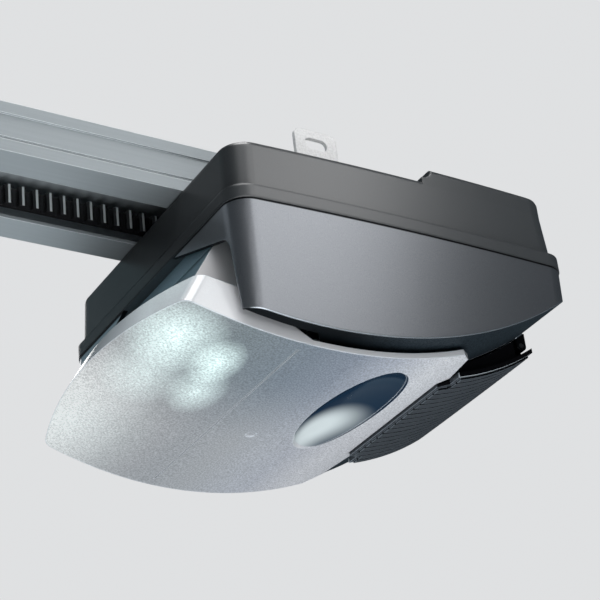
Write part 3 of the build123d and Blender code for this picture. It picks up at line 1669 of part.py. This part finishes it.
# Release lever on its pin, and the latch pin it draws down
lever_y = block_half + lever_gap + lever_sheet / 2
with BuildPart() as release_lever:
    with BuildSketch(Plane.XZ.offset(-lever_y)):
        with Locations((lever_pivot_x, lever_pivot_z - lever_length / 2)):
            SlotCenterToCenter(lever_length, lever_width, rotation=90)
        with Locations((lever_pivot_x, lever_pivot_z)):
            Circle(lever_pin_radius + run_gap, mode=Mode.SUBTRACT)
        with Locations((lever_pivot_x, lever_pivot_z - lever_length)):
            Circle(lever_pin_radius, mode=Mode.SUBTRACT)
    extrude(amount=lever_sheet / 2, both=True)
release_lever.part.label = "release_lever"
export_step(release_lever.part, "parts/release_lever.step")

with BuildPart() as lever_pin:
    pin_face = lever_y + lever_sheet / 2 + lever_gap
    with Locations((lever_pivot_x, pin_face, lever_pivot_z)):
        Cylinder(
            lever_pin_head, lever_pin_head_height, rotation=(-90, 0, 0),
            align=(Align.CENTER, Align.CENTER, Align.MIN),
        )
        Cylinder(
            lever_pin_radius, pin_face - block_half + lever_pin_depth - 0.5, rotation=(-90, 0, 0),
            align=(Align.CENTER, Align.CENTER, Align.MAX),
        )
lever_pin.part.label = "lever_pin"
export_step(lever_pin.part, "parts/lever_pin.step")

with BuildPart() as latch_pin:
    with Locations((trolley_x + latch_x, 0, deck - latch_drop)):
        Cylinder(
            latch_radius, latch_drop + latch_rise, align=(Align.CENTER, Align.CENTER, Align.MIN)
        )
latch_pin.part.label = "latch_pin"
export_step(latch_pin.part, "parts/latch_pin.step")
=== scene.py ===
import json

import bpy
from mathutils import Matrix, Vector


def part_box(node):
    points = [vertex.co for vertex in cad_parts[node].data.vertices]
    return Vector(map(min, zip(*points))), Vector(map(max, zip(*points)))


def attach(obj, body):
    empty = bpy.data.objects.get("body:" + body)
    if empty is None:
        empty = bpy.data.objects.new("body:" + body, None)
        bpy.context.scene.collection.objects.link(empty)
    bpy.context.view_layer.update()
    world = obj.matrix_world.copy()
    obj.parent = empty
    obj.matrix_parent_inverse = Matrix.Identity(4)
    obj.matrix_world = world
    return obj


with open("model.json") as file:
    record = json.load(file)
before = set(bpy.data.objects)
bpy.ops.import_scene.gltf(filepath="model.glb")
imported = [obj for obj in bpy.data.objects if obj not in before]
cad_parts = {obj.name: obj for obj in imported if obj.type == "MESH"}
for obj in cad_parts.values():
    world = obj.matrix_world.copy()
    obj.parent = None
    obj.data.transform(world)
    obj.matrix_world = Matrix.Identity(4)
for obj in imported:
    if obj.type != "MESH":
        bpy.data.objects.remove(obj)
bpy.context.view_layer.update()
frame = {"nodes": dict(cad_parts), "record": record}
nodes = frame["nodes"]

# Sizes read from the frame, in metres
hood_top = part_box("hood")[1][2]
cover_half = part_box("service_cover")[1][1]
lamp_housing_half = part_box("lamp_housing")[1][1]
black_housing_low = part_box("base_housing")[0]
black_housing_front = black_housing_low[0]
black_housing_bottom = black_housing_low[2]

# Shared by the finishes: depth of the grain, spread of the gloss and samples of rounded edges
grain_depth = 0.0002
gloss_spread = 0.06
rounding_samples = 6

# Painted highlights along edges: samples, and how far a rounded normal turns from its face before
# they start
glint_samples = 8
glint_start = 0.985

# Upright size of a round fade, large enough to cover a piece at any height
any_height = 50.0

# Hood, in metres: mouth painted dark as shade, seam under the black housing, outer edges with
# painted highlights and belly's arc
hood_mouth_x = (0.045, -0.01)
hood_seam_z = (hood_top - 0.0014, hood_top - 0.0008)
hood_outer_y = (0.0925, 0.0905)
belly_axis = (-0.007, 0.0, 0.1255)
belly_reach = (0.2503, 0.2508)

# Lens, in metres: length and near to far side of the painted light and shade on the floor, finger
# dish, painted light in the dish and line across the floor
lens_span_x = (-0.115, 0.08)
lens_side_y = (-0.055, 0.03)
dish_centre = (0.0398, -0.0225)
dish_radii = (0.0231, 0.0485)
streak_centre = (0.0387, 0.0102)
streak_radii = (0.038, 0.016)
streak_turn = -0.97
floor_line_x = -0.0267
floor_line_width = (0.001, 0.003)

# Centre, radii and strength of each lamp's painted glow on the lens
lamp_spots = (
    ((-0.09, 0.055), (0.045, 0.075), 0.22),
    ((-0.081, -0.055), (0.025, 0.034), 0.9),
    ((-0.079, -0.017), (0.022, 0.034), 0.42),
    ((-0.055, -0.047), (0.0135, 0.024), 1.0),
    ((-0.051, -0.018), (0.015, 0.025), 0.66),
)

# Cover's side rims, painted with a bright highlight, in metres
cover_rim_y = (cover_half - 0.0012, cover_half - 0.0006)

# Belt, in metres: crests of the teeth that carry painted highlights, and the two ends of its
# straight runs
belt_crest_y = (0.01642, 0.01632)
belt_head_end_x = (-0.019, -0.022)
belt_idler_end_x = (-0.39, -0.386)

# Heights between which the lamp housing's side is painted paler as light, in metres
lamp_housing_pale_z = (-0.062, -0.088)

# Lamp shield, in metres: just inside the lamp housing's width, behind the black housing's front wall
shield_half = lamp_housing_half - 0.0016
shield_back_x = black_housing_front + 0.0078
shield_top_z = black_housing_bottom + 0.013

# X and Z of the shield's corners, by the sides of the cube that they start from
shield_corners = {
    (-1, -1): (black_housing_front + 0.0046, black_housing_bottom - 0.0033),
    (-1, 1): (black_housing_front + 0.0068, shield_top_z),
    (1, 1): (shield_back_x, shield_top_z),
    (1, -1): (shield_back_x, black_housing_bottom + 0.002),
}

# Studio: pale backdrop, floor far below the head, and the point that the lamps face
backdrop_colour = (0.74, 0.75, 0.76, 1.0)
floor_size = 14.0
floor_height = -3.5
head_centre = (0.02, -0.05, -0.07)

# Camera of the photograph: lens in millimetres, place in metres and the directions of its axes
camera_lens = 109.17
camera_sensor = 36.0
camera_near = 0.02
camera_place = (-0.46563, -0.74006, -0.55027)
camera_right = Vector((0.85692, -0.50506, -0.10291))
camera_up = Vector((-0.17403, -0.47144, 0.86456))
camera_back = Vector((-0.48517, -0.72295, -0.49188))


# Steps that the finishes are made of
def new_finish(name):
    """Empty node finish with a shader, an output and object coordinates."""
    finish = bpy.data.materials.new(name)
    finish.use_nodes = True
    tree = finish.node_tree
    tree.nodes.clear()
    out = tree.nodes.new("ShaderNodeOutputMaterial")
    shader = tree.nodes.new("ShaderNodeBsdfPrincipled")
    place = tree.nodes.new("ShaderNodeTexCoord")
    tree.links.new(shader.outputs["BSDF"], out.inputs["Surface"])
    return finish, tree, shader, place


def grain(tree, place, scale, stretch=(1, 1, 1), detail=3.0):
    """Noise over the piece, in its own coordinates."""
    mapping = tree.nodes.new("ShaderNodeMapping")
    mapping.inputs["Scale"].default_value = stretch
    noise = tree.nodes.new("ShaderNodeTexNoise")
    noise.inputs["Scale"].default_value = scale
    noise.inputs["Detail"].default_value = detail
    tree.links.new(place.outputs["Object"], mapping.inputs["Vector"])
    tree.links.new(mapping.outputs["Vector"], noise.inputs["Vector"])
    return noise.outputs["Fac"]


def ramp(tree, source, stops):
    """Colour ramp fed from a value."""
    node = tree.nodes.new("ShaderNodeValToRGB")
    elements = node.color_ramp.elements
    while len(elements) < len(stops):
        elements.new(0.5)
    for element, (position, colour) in zip(elements, stops):
        element.position = position
        element.color = (*colour, 1.0)
    tree.links.new(source, node.inputs["Fac"])
    return node.outputs["Color"]


def relief(tree, source, strength, rounding):
    """Bump from a value, over softly rounded edges."""
    edge = tree.nodes.new("ShaderNodeBevel")
    edge.samples = rounding_samples
    edge.inputs["Radius"].default_value = rounding
    bump = tree.nodes.new("ShaderNodeBump")
    bump.inputs["Strength"].default_value = strength
    bump.inputs["Distance"].default_value = grain_depth
    tree.links.new(source, bump.inputs["Height"])
    tree.links.new(edge.outputs["Normal"], bump.inputs["Normal"])
    return bump.outputs["Normal"]


def edge_mask(tree, reach, full=0.88):
    """Mask that is 1 along the sharp edges of a piece and 0 on its faces."""
    edge = tree.nodes.new("ShaderNodeBevel")
    edge.samples = glint_samples
    edge.inputs["Radius"].default_value = reach
    face = tree.nodes.new("ShaderNodeNewGeometry")
    match = tree.nodes.new("ShaderNodeVectorMath")
    match.operation = "DOT_PRODUCT"
    tree.links.new(edge.outputs["Normal"], match.inputs[0])
    tree.links.new(face.outputs["Normal"], match.inputs[1])
    mask = tree.nodes.new("ShaderNodeMapRange")
    mask.inputs["From Min"].default_value = glint_start
    mask.inputs["From Max"].default_value = full
    tree.links.new(match.outputs["Value"], mask.inputs["Value"])
    return mask.outputs["Result"]


def blend_colour(tree, mask, first, second):
    """Colour that goes from the first to the second as the mask rises."""
    mix = tree.nodes.new("ShaderNodeMix")
    mix.data_type = "RGBA"
    tree.links.new(mask, mix.inputs["Factor"])
    for socket, colour in ((mix.inputs[6], first), (mix.inputs[7], second)):
        if isinstance(colour, tuple):
            socket.default_value = (*colour, 1.0)
        else:
            tree.links.new(colour, socket)
    return mix.outputs[2]


def blend_value(tree, mask, first, second):
    """Value that goes from the first to the second as the mask rises."""
    node = tree.nodes.new("ShaderNodeMapRange")
    node.inputs["To Min"].default_value = first
    node.inputs["To Max"].default_value = second
    tree.links.new(mask, node.inputs["Value"])
    return node.outputs["Result"]


def combine(tree, operation, first, second):
    """Arithmetic on two values."""
    node = tree.nodes.new("ShaderNodeMath")
    node.operation = operation
    for socket, value in zip(node.inputs, (first, second)):
        if isinstance(value, float):
            socket.default_value = value
        else:
            tree.links.new(value, socket)
    return node.outputs["Value"]


def unsigned(tree, value):
    """Value without its sign, so that both sides of a piece are alike."""
    return combine(tree, "ABSOLUTE", value, 0.0)


def band(tree, source, start, stop, smooth=True):
    """0 to 1 step of a value between two limits, soft at its ends or straight."""
    node = tree.nodes.new("ShaderNodeMapRange")
    if smooth:
        node.interpolation_type = "SMOOTHSTEP"
    node.inputs["From Min"].default_value = start
    node.inputs["From Max"].default_value = stop
    tree.links.new(source, node.inputs["Value"])
    return node.outputs["Result"]


def axes(tree, vector):
    """X, Y and Z of a place or a direction."""
    node = tree.nodes.new("ShaderNodeSeparateXYZ")
    tree.links.new(vector, node.inputs["Vector"])
    return node.outputs


def spot(tree, place, centre, radii, turn=0.0):
    """Round fade, 1 at its centre and 0 at its radii, seen along the upright axis."""
    mapping = tree.nodes.new("ShaderNodeMapping")
    mapping.vector_type = "TEXTURE"
    mapping.inputs["Location"].default_value = (*centre, 0.0)
    mapping.inputs["Rotation"].default_value = (0.0, 0.0, turn)
    mapping.inputs["Scale"].default_value = (*radii, any_height)
    fade = tree.nodes.new("ShaderNodeTexGradient")
    fade.gradient_type = "SPHERICAL"
    tree.links.new(place.outputs["Object"], mapping.inputs["Vector"])
    tree.links.new(mapping.outputs["Vector"], fade.inputs["Vector"])
    return fade.outputs["Fac"]


def side_distance(tree, place, axis):
    """Distance from a crosswise axis, in side view."""
    side_view = tree.nodes.new("ShaderNodeVectorMath")
    side_view.operation = "MULTIPLY"
    side_view.inputs[1].default_value = (1.0, 0.0, 1.0)
    reach = tree.nodes.new("ShaderNodeVectorMath")
    reach.operation = "DISTANCE"
    reach.inputs[1].default_value = axis
    tree.links.new(place.outputs["Object"], side_view.inputs[0])
    tree.links.new(side_view.outputs["Vector"], reach.inputs[0])
    return reach.outputs["Value"]


def shade(colour, factor):
    """Colour made lighter or darker."""
    return tuple(min(1.0, c * factor) for c in colour)


def plain_nodes(
    name, colour, rough, metal=0.0, scale=900.0, stretch=(1, 1, 1), vary=0.12, bump=0.08,
    rounding=0.0006,
):
    """One colour with a little variation, a fine grain and softened edges, with its nodes."""
    finish, tree, shader, place = new_finish(name)
    noise = grain(tree, place, scale, stretch)
    tint = ramp(
        tree, noise, [(0.25, shade(colour, 1 - vary)), (0.75, shade(colour, 1 + vary))]
    )
    tree.links.new(tint, shader.inputs["Base Color"])
    gloss = blend_value(tree, noise, rough - gloss_spread, rough + gloss_spread)
    tree.links.new(gloss, shader.inputs["Roughness"])
    shader.inputs["Metallic"].default_value = metal
    tree.links.new(relief(tree, noise, bump, rounding), shader.inputs["Normal"])
    return finish, tree, shader, place


def plain_finish(name, colour, rough, **options):
    """The finish of plain_nodes alone."""
    return plain_nodes(name, colour, rough, **options)[0]


# Finishes of single pieces
def black_shell_finish():
    """Glossy black moulding with a dull front wall."""
    finish, tree, shader, place = plain_nodes(
        "black_shell", (0.034, 0.038, 0.041), 0.36, scale=2200, vary=0.2, bump=0.1, rounding=0.0022
    )
    forward = band(tree, axes(tree, place.outputs["Normal"])["X"], -0.5, -0.9)
    tree.links.new(blend_value(tree, forward, 1.0, 0.2), shader.inputs["Specular IOR Level"])
    tree.links.new(blend_value(tree, forward, 1.0, 0.0), shader.inputs["Coat Weight"])
    shader.inputs["Coat Roughness"].default_value = 0.3
    return finish


def silver_hood_finish():
    """Satin silver paint, bead-blast underside darkened as painted shade, painted highlights on
    edges.
    """
    finish, tree, shader, place = new_finish("silver_hood")
    where = axes(tree, place.outputs["Object"])
    noise = grain(tree, place, 2600, detail=2.0)
    speck = grain(tree, place, 1100, detail=4.0)
    paint = ramp(tree, noise, [(0.3, (0.31, 0.325, 0.35)), (0.7, (0.38, 0.39, 0.415))])
    # Bead-blast underside, its colour darkened further as painted shade
    blasted_and_shaded = ramp(tree, speck, [(0.35, (0.024, 0.04, 0.053)), (0.7, (0.1, 0.135, 0.165))])
    under = band(tree, axes(tree, place.outputs["Normal"])["Z"], -0.35, -0.6)
    # Underside near the mouth painted near-black as shade
    mouth = band(tree, where["X"], *hood_mouth_x)
    belly = blend_colour(tree, mouth, blasted_and_shaded, (0.012, 0.016, 0.02))
    skin = blend_colour(tree, under, paint, belly)
    # Painted highlights along the edges, except on the inner edges at the mouth
    inside = band(tree, unsigned(tree, where["Y"]), *hood_outer_y)
    shaded = combine(tree, "MULTIPLY", inside, mouth)
    glint = combine(
        tree, "MULTIPLY", edge_mask(tree, 0.0016), combine(tree, "SUBTRACT", 1.0, shaded)
    )
    skin = blend_colour(tree, glint, skin, (0.75, 0.82, 0.88))
    # Near-black lugs that hang below the belly's arc, and seam under the black housing
    lugs = band(tree, side_distance(tree, place, belly_axis), *belly_reach)
    seam = band(tree, where["Z"], *hood_seam_z)
    dark = combine(tree, "MAXIMUM", lugs, seam)
    skin = blend_colour(tree, dark, skin, (0.015, 0.016, 0.018))
    tree.links.new(skin, shader.inputs["Base Color"])
    tree.links.new(blend_value(tree, under, 0.31, 0.55), shader.inputs["Roughness"])
    shader.inputs["Metallic"].default_value = 0.95
    tree.links.new(relief(tree, speck, 0.12, 0.0012), shader.inputs["Normal"])
    return finish


def lamp_spot(tree, place, centre, radii, strength):
    """Painted glow of one lamp on the lens."""
    return combine(tree, "MULTIPLY", spot(tree, place, centre, radii), strength)


def lens_finish():
    """Frosted lens painted with light and shade: glowing floor, clear walls and a smooth finger
    dish.
    """
    finish, tree, shader, place = new_finish("lens_frost")
    where = axes(tree, place.outputs["Object"])
    facing = axes(tree, place.outputs["Normal"])
    noise = grain(tree, place, 1100, detail=3.0)
    fine = grain(tree, place, 950, detail=2.0)
    # Floor colour painted lighter and darker along the lens and across it, as light and shade
    along = band(tree, where["X"], *lens_span_x, smooth=False)
    near_frost_and_painted_light = ramp(
        tree, along,
        [
            (0.0, (0.5, 0.53, 0.54)), (0.3, (0.22, 0.26, 0.28)), (0.5, (0.21, 0.25, 0.3)),
            (0.62, (0.29, 0.33, 0.4)), (0.74, (0.54, 0.58, 0.66)), (0.9, (0.92, 0.94, 0.98)),
        ],
    )
    far_frost_and_painted_light = ramp(
        tree, along,
        [
            (0.1, (0.88, 0.87, 0.86)), (0.28, (0.48, 0.48, 0.49)), (0.42, (0.4, 0.41, 0.43)),
            (0.55, (0.45, 0.46, 0.48)), (0.75, (0.57, 0.59, 0.65)), (0.9, (0.84, 0.85, 0.89)),
        ],
    )
    frost_and_painted_light = blend_colour(tree, band(tree, where["Y"], *lens_side_y), near_frost_and_painted_light, far_frost_and_painted_light)
    sparkle = blend_value(tree, band(tree, noise, 0.3, 0.72), 0.72, 1.3)
    frosted_and_painted_light = tree.nodes.new("ShaderNodeVectorMath")
    frosted_and_painted_light.operation = "SCALE"
    tree.links.new(frost_and_painted_light, frosted_and_painted_light.inputs[0])
    tree.links.new(sparkle, frosted_and_painted_light.inputs["Scale"])
    # Clear walls around the tub, the near wall painted lighter as light
    wall = band(tree, facing["Z"], -0.86, -0.68)
    painted_lit_near_wall = band(tree, facing["Y"], -0.3, -0.7)
    clear = blend_colour(tree, painted_lit_near_wall, (0.72, 0.78, 0.82), (0.8, 0.81, 0.83))
    skin = blend_colour(tree, wall, frosted_and_painted_light.outputs["Vector"], clear)
    # Finger dish painted dark blue as shade and reflection, with a painted patch of light in its low
    # end
    dish = band(tree, spot(tree, place, dish_centre, dish_radii), 0.035, 0.055)
    painted_light_streak = spot(tree, place, streak_centre, streak_radii, streak_turn)
    painted_light_streak = band(tree, painted_light_streak, 0.0, 0.8)
    dish_painted_shade_and_light = blend_colour(tree, painted_light_streak, (0.007, 0.028, 0.062), (0.82, 0.9, 0.91))
    skin = blend_colour(tree, dish, skin, dish_painted_shade_and_light)
    # Painted highlights along the edges, weaker at the line across the floor
    off_line = unsigned(tree, combine(tree, "SUBTRACT", where["X"], floor_line_x))
    line = blend_value(tree, band(tree, off_line, *floor_line_width), 0.6, 1.0)
    glint = combine(tree, "MULTIPLY", edge_mask(tree, 0.0014), line)
    skin = blend_colour(tree, glint, skin, (0.85, 0.9, 0.95))
    tree.links.new(skin, shader.inputs["Base Color"])
    # Painted glow of the lamps on the floor, as emission of the lens
    glow = lamp_spot(tree, place, *lamp_spots[0])
    for lamp in lamp_spots[1:]:
        glow = combine(tree, "ADD", glow, lamp_spot(tree, place, *lamp))
    twinkle = blend_value(tree, band(tree, fine, 0.3, 0.72), 0.62, 1.4)
    glow = combine(tree, "MULTIPLY", glow, twinkle)
    open_floor = blend_value(tree, band(tree, wall, 0.9, 0.2), 0.25, 1.0)
    glow = combine(tree, "MULTIPLY", glow, open_floor)
    shader.inputs["Emission Color"].default_value = (0.74, 0.93, 0.9, 1.0)
    tree.links.new(glow, shader.inputs["Emission Strength"])
    # Smooth walls and dish, frosted floor
    smooth = combine(tree, "MAXIMUM", wall, dish)
    tree.links.new(blend_value(tree, smooth, 0.38, 0.12), shader.inputs["Roughness"])
    tree.links.new(blend_value(tree, dish, 0.5, 0.12), shader.inputs["Specular IOR Level"])
    tree.links.new(blend_value(tree, dish, 0.25, 0.0), shader.inputs["Coat Weight"])
    shader.inputs["Coat Roughness"].default_value = 0.2
    tree.links.new(relief(tree, noise, 0.12, 0.0008), shader.inputs["Normal"])
    return finish


def cover_finish():
    """Dark moulded cover: painted highlights on its rib edges and side rims, and skirts painted
    near-black as shade.
    """
    finish, tree, shader, place = new_finish("cover_shell")
    noise = grain(tree, place, 900)
    tint = ramp(tree, noise, [(0.25, (0.04, 0.048, 0.057)), (0.75, (0.075, 0.086, 0.1))])
    # Edges of the ribs painted pale as highlights
    skin = blend_colour(tree, edge_mask(tree, 0.0006), tint, (0.3, 0.35, 0.4))
    # Side rims painted bright as highlights
    width = unsigned(tree, axes(tree, place.outputs["Object"])["Y"])
    skin = blend_colour(tree, band(tree, width, *cover_rim_y), skin, (0.6, 0.66, 0.7))
    # Skirts facing sideways painted near-black, with less shine, as shade
    sideways = unsigned(tree, axes(tree, place.outputs["Normal"])["Y"])
    skirt_painted_shade = band(tree, sideways, 0.6, 0.8)
    skin = blend_colour(tree, skirt_painted_shade, skin, (0.004, 0.004, 0.005))
    tree.links.new(skin, shader.inputs["Base Color"])
    tree.links.new(blend_value(tree, skirt_painted_shade, 0.5, 0.04), shader.inputs["Specular IOR Level"])
    shader.inputs["Roughness"].default_value = 0.38
    tree.links.new(relief(tree, noise, 0.14, 0.0004), shader.inputs["Normal"])
    return finish


def belt_finish():
    """Black rubber with painted highlights on the crests of the teeth of the straight runs."""
    finish, tree, shader, place = new_finish("belt_rubber")
    where = axes(tree, place.outputs["Object"])
    noise = grain(tree, place, 900)
    tint = ramp(tree, noise, [(0.25, (0.011, 0.011, 0.012)), (0.75, (0.015, 0.015, 0.016))])
    # Pale lines on the crests of the teeth, painted as highlights
    painted_crest_highlight = band(tree, unsigned(tree, where["Y"]), *belt_crest_y)
    for run_end in (belt_head_end_x, belt_idler_end_x):
        painted_crest_highlight = combine(tree, "MULTIPLY", painted_crest_highlight, band(tree, where["X"], *run_end))
    skin = blend_colour(tree, painted_crest_highlight, tint, (0.75, 0.8, 0.8))
    tree.links.new(skin, shader.inputs["Base Color"])
    shader.inputs["Roughness"].default_value = 0.25
    tree.links.new(relief(tree, noise, 0.08, 0.0005), shader.inputs["Normal"])
    return finish


def rail_finish():
    """Drawn aluminium with a fine lengthwise grain and painted highlights on its edges."""
    finish, tree, shader, place = new_finish("rail_metal")
    noise = grain(tree, place, 500, (0.02, 1, 1))
    tint = ramp(tree, noise, [(0.25, (0.36, 0.4, 0.42)), (0.75, (0.405, 0.445, 0.465))])
    # Edges painted bright as highlights
    skin = blend_colour(tree, edge_mask(tree, 0.0008, 0.85), tint, (0.85, 0.9, 0.92))
    tree.links.new(skin, shader.inputs["Base Color"])
    tree.links.new(blend_value(tree, noise, 0.34, 0.48), shader.inputs["Roughness"])
    shader.inputs["Metallic"].default_value = 0.2
    tree.links.new(relief(tree, noise, 0.03, 0.0005), shader.inputs["Normal"])
    return finish


def lamp_housing_finish(name, front_low, front_high):
    """Front painted teal as shade and reflection, and a side painted paler towards the lens as
    light.
    """
    finish, tree, shader, place = new_finish(name)
    noise = grain(tree, place, 900)
    # Side painted paler towards the lens as light
    low = band(tree, axes(tree, place.outputs["Object"])["Z"], *lamp_housing_pale_z)
    side = blend_colour(tree, low, (0.45, 0.48, 0.5), (0.92, 0.91, 0.92))
    # Front painted teal as shade and reflection
    front = ramp(tree, noise, [(0.25, front_low), (0.75, front_high)])
    forward = band(tree, axes(tree, place.outputs["Normal"])["X"], -0.2, -0.5)
    tree.links.new(blend_colour(tree, forward, side, front), shader.inputs["Base Color"])
    shader.inputs["Roughness"].default_value = 0.35
    tree.links.new(relief(tree, noise, 0.04, 0.0006), shader.inputs["Normal"])
    return finish


def lamp_glass_finish():
    """Pale lamp that glows."""
    finish = plain_finish("lamp_glass", (0.9, 0.9, 0.85), 0.3)
    shader = finish.node_tree.nodes["Principled BSDF"]
    shader.inputs["Emission Color"].default_value = (0.85, 1.0, 0.96, 1.0)
    shader.inputs["Emission Strength"].default_value = 4.0
    return finish


def floor_paper_finish():
    """Matt pale paper, shown to the camera in the colour of the backdrop."""
    finish = plain_finish("floor_paper", (0.78, 0.78, 0.77), 0.8, scale=6, vary=0.02)
    tree = finish.node_tree
    shader = tree.nodes["Principled BSDF"]
    path = tree.nodes.new("ShaderNodeLightPath")
    seen = tree.nodes.new("ShaderNodeEmission")
    seen.inputs["Color"].default_value = backdrop_colour
    mix = tree.nodes.new("ShaderNodeMixShader")
    tree.links.new(path.outputs["Is Camera Ray"], mix.inputs["Fac"])
    tree.links.new(shader.outputs["BSDF"], mix.inputs[1])
    tree.links.new(seen.outputs["Emission"], mix.inputs[2])
    tree.links.new(mix.outputs["Shader"], tree.nodes["Material Output"].inputs["Surface"])
    return finish


# Finish of each material slot, and of the nodes that differ from their slot
finishes = {
    "black_plastic": black_shell_finish(),
    "silver_plastic": silver_hood_finish(),
    "lens_plastic": lens_finish(),
    "pale_plastic": plain_finish("pale_shell", (0.5, 0.53, 0.55), 0.34, metal=0.8, bump=0.04),
    "dark_plastic": plain_finish("dark_shell", (0.03, 0.032, 0.036), 0.45, rounding=0.0005),
    "button_plastic": plain_finish("button_shell", (0.6, 0.6, 0.58), 0.35),
    "display_glass": plain_finish("display_glass", (0.01, 0.012, 0.016), 0.12, bump=0.0),
    "circuit_board": plain_finish("board_green", (0.03, 0.16, 0.06), 0.45, scale=300, vary=0.25),
    "lamp_plastic": lamp_glass_finish(),
    "core_iron": plain_finish("core_iron", (0.16, 0.16, 0.17), 0.5, metal=0.8, stretch=(1, 8, 1)),
    "copper": plain_finish(
        "copper_wire", (0.55, 0.25, 0.12), 0.35, metal=0.9, stretch=(1, 1, 12)
    ),
    "zinc_steel": plain_finish("zinc_sheet", (0.56, 0.57, 0.58), 0.35, metal=1.0, scale=60),
    "steel": plain_finish("bright_steel", (0.5, 0.5, 0.51), 0.28, metal=1.0),
    "bronze": plain_finish("bronze_bush", (0.5, 0.34, 0.16), 0.4, metal=1.0),
    "pulley_plastic": plain_finish("pulley_shell", (0.06, 0.06, 0.065), 0.4),
    "rail_aluminium": rail_finish(),
    "belt_rubber": belt_finish(),
    "ear_paint": plain_finish("ear_white", (0.9, 0.9, 0.89), 0.4),
    "lever_paint": plain_finish("lever_red", (0.5, 0.04, 0.03), 0.4),
}
node_finishes = {
    "service_cover": cover_finish(),
    "cover_pins": plain_finish("pin_black", (0.02, 0.02, 0.022), 0.5),
    "lamp_housing": lamp_housing_finish(
        "lamp_housing_shell", (0.12, 0.2, 0.24), (0.15, 0.235, 0.28)
    ),
}
for part in frame["record"]["subparts"]:
    piece = nodes[part["node"]]
    piece.data.materials.clear()
    finish = node_finishes.get(part["node"], finishes[part["material_slot"]])
    piece.data.materials.append(finish)

# Shield strip that closes the gap between the lamp housing and the black housing's front wall
bpy.ops.object.select_all(action="DESELECT")
bpy.ops.mesh.primitive_cube_add(size=2.0, location=(0.0, 0.0, 0.0))
lamp_shield = bpy.context.object
lamp_shield.name = "lamp_shield"
for corner in lamp_shield.data.vertices:
    shield_x, shield_z = shield_corners[(round(corner.co.x), round(corner.co.z))]
    corner.co = (shield_x, corner.co.y * shield_half, shield_z)
# Its front painted a lighter teal than the lamp housing's, as reflection in its shade
lamp_shield.data.materials.append(
    lamp_housing_finish("lamp_shield_shell", (0.24, 0.38, 0.45), (0.28, 0.42, 0.5))
)
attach(lamp_shield, "head")

# Floor
bpy.ops.object.select_all(action="DESELECT")
bpy.ops.mesh.primitive_plane_add(size=floor_size, location=(0.0, 0.0, floor_height))
floor = bpy.context.object
floor.name = "studio_floor"
floor.data.materials.append(floor_paper_finish())


# World: one light for matt surfaces, a dimmer one for reflections, and the backdrop
def background(air, colour, strength):
    """Background light of one colour."""
    node = air.nodes.new("ShaderNodeBackground")
    node.inputs["Color"].default_value = colour
    node.inputs["Strength"].default_value = strength
    return node.outputs["Background"]


def choose(air, mask, first, second):
    """First shader where the mask is 0, second where it is 1."""
    node = air.nodes.new("ShaderNodeMixShader")
    air.links.new(mask, node.inputs["Fac"])
    air.links.new(first, node.inputs[1])
    air.links.new(second, node.inputs[2])
    return node.outputs["Shader"]


world = bpy.data.worlds.new("studio_air")
bpy.context.scene.world = world
world.use_nodes = True
air = world.node_tree
air.nodes.clear()
air_out = air.nodes.new("ShaderNodeOutputWorld")
air_path = air.nodes.new("ShaderNodeLightPath").outputs
air_light = background(air, (0.93, 0.96, 1.0, 1.0), 0.28)
air_sheen = background(air, (0.42, 0.52, 0.6, 1.0), 0.105)
air_show = background(air, backdrop_colour, 1.0)
air_seen = combine(air, "MAXIMUM", air_path["Is Camera Ray"], air_path["Is Transmission Ray"])
air_unseen = choose(air, air_path["Is Glossy Ray"], air_light, air_sheen)
air.links.new(choose(air, air_seen, air_unseen, air_show), air_out.inputs["Surface"])


# Lamps
def studio_lamp(name, place, target, size, power, colour=(1.0, 1.0, 1.0)):
    """Soft square lamp turned towards a point."""
    data = bpy.data.lights.new(name, "AREA")
    data.shape = "SQUARE"
    data.size = size
    data.energy = power
    data.color = colour
    lamp = bpy.data.objects.new(name, data)
    bpy.context.scene.collection.objects.link(lamp)
    lamp.location = place
    lamp.rotation_euler = (Vector(target) - Vector(place)).to_track_quat("-Z", "Y").to_euler()


studio_lamp("side_softbox", (0.11, -0.46, 0.19), (0.0, -0.09, -0.06), 0.34, 0.43)
studio_lamp("upper_softbox", (0.27, -0.46, 0.33), (0.03, -0.09, -0.03), 0.16, 0.09)
studio_lamp("key_lamp", (-0.35, -1.6, 0.05), head_centre, 0.8, 4)
studio_lamp("back_lamp", (0.25, 1.6, 0.4), head_centre, 1.0, 7)
studio_lamp("front_fill", (-0.7, 1.0, 0.6), head_centre, 0.8, 0.7, (0.6, 0.9, 1.0))
studio_lamp("far_fill", (0.35, 1.0, -0.75), head_centre, 0.8, 0.9, (0.7, 0.9, 1.0))
studio_lamp("under_lamp", (-0.2, -0.6, -1.35), head_centre, 1.0, 13, (0.96, 0.98, 1.0))
studio_lamp("top_lamp", (-0.2, -0.5, 1.4), head_centre, 1.0, 14)

# Camera
camera_data = bpy.data.cameras.new("photo_camera")
camera_data.lens = camera_lens
camera_data.sensor_width = camera_sensor
camera_data.clip_start = camera_near
camera = bpy.data.objects.new("photo_camera", camera_data)
bpy.context.scene.collection.objects.link(camera)
camera_axes = Matrix((camera_right, camera_up, camera_back))
camera.rotation_euler = camera_axes.transposed().to_euler()
camera.location = camera_place
bpy.context.scene.camera = camera
bpy.context.scene.view_settings.view_transform = "Standard"
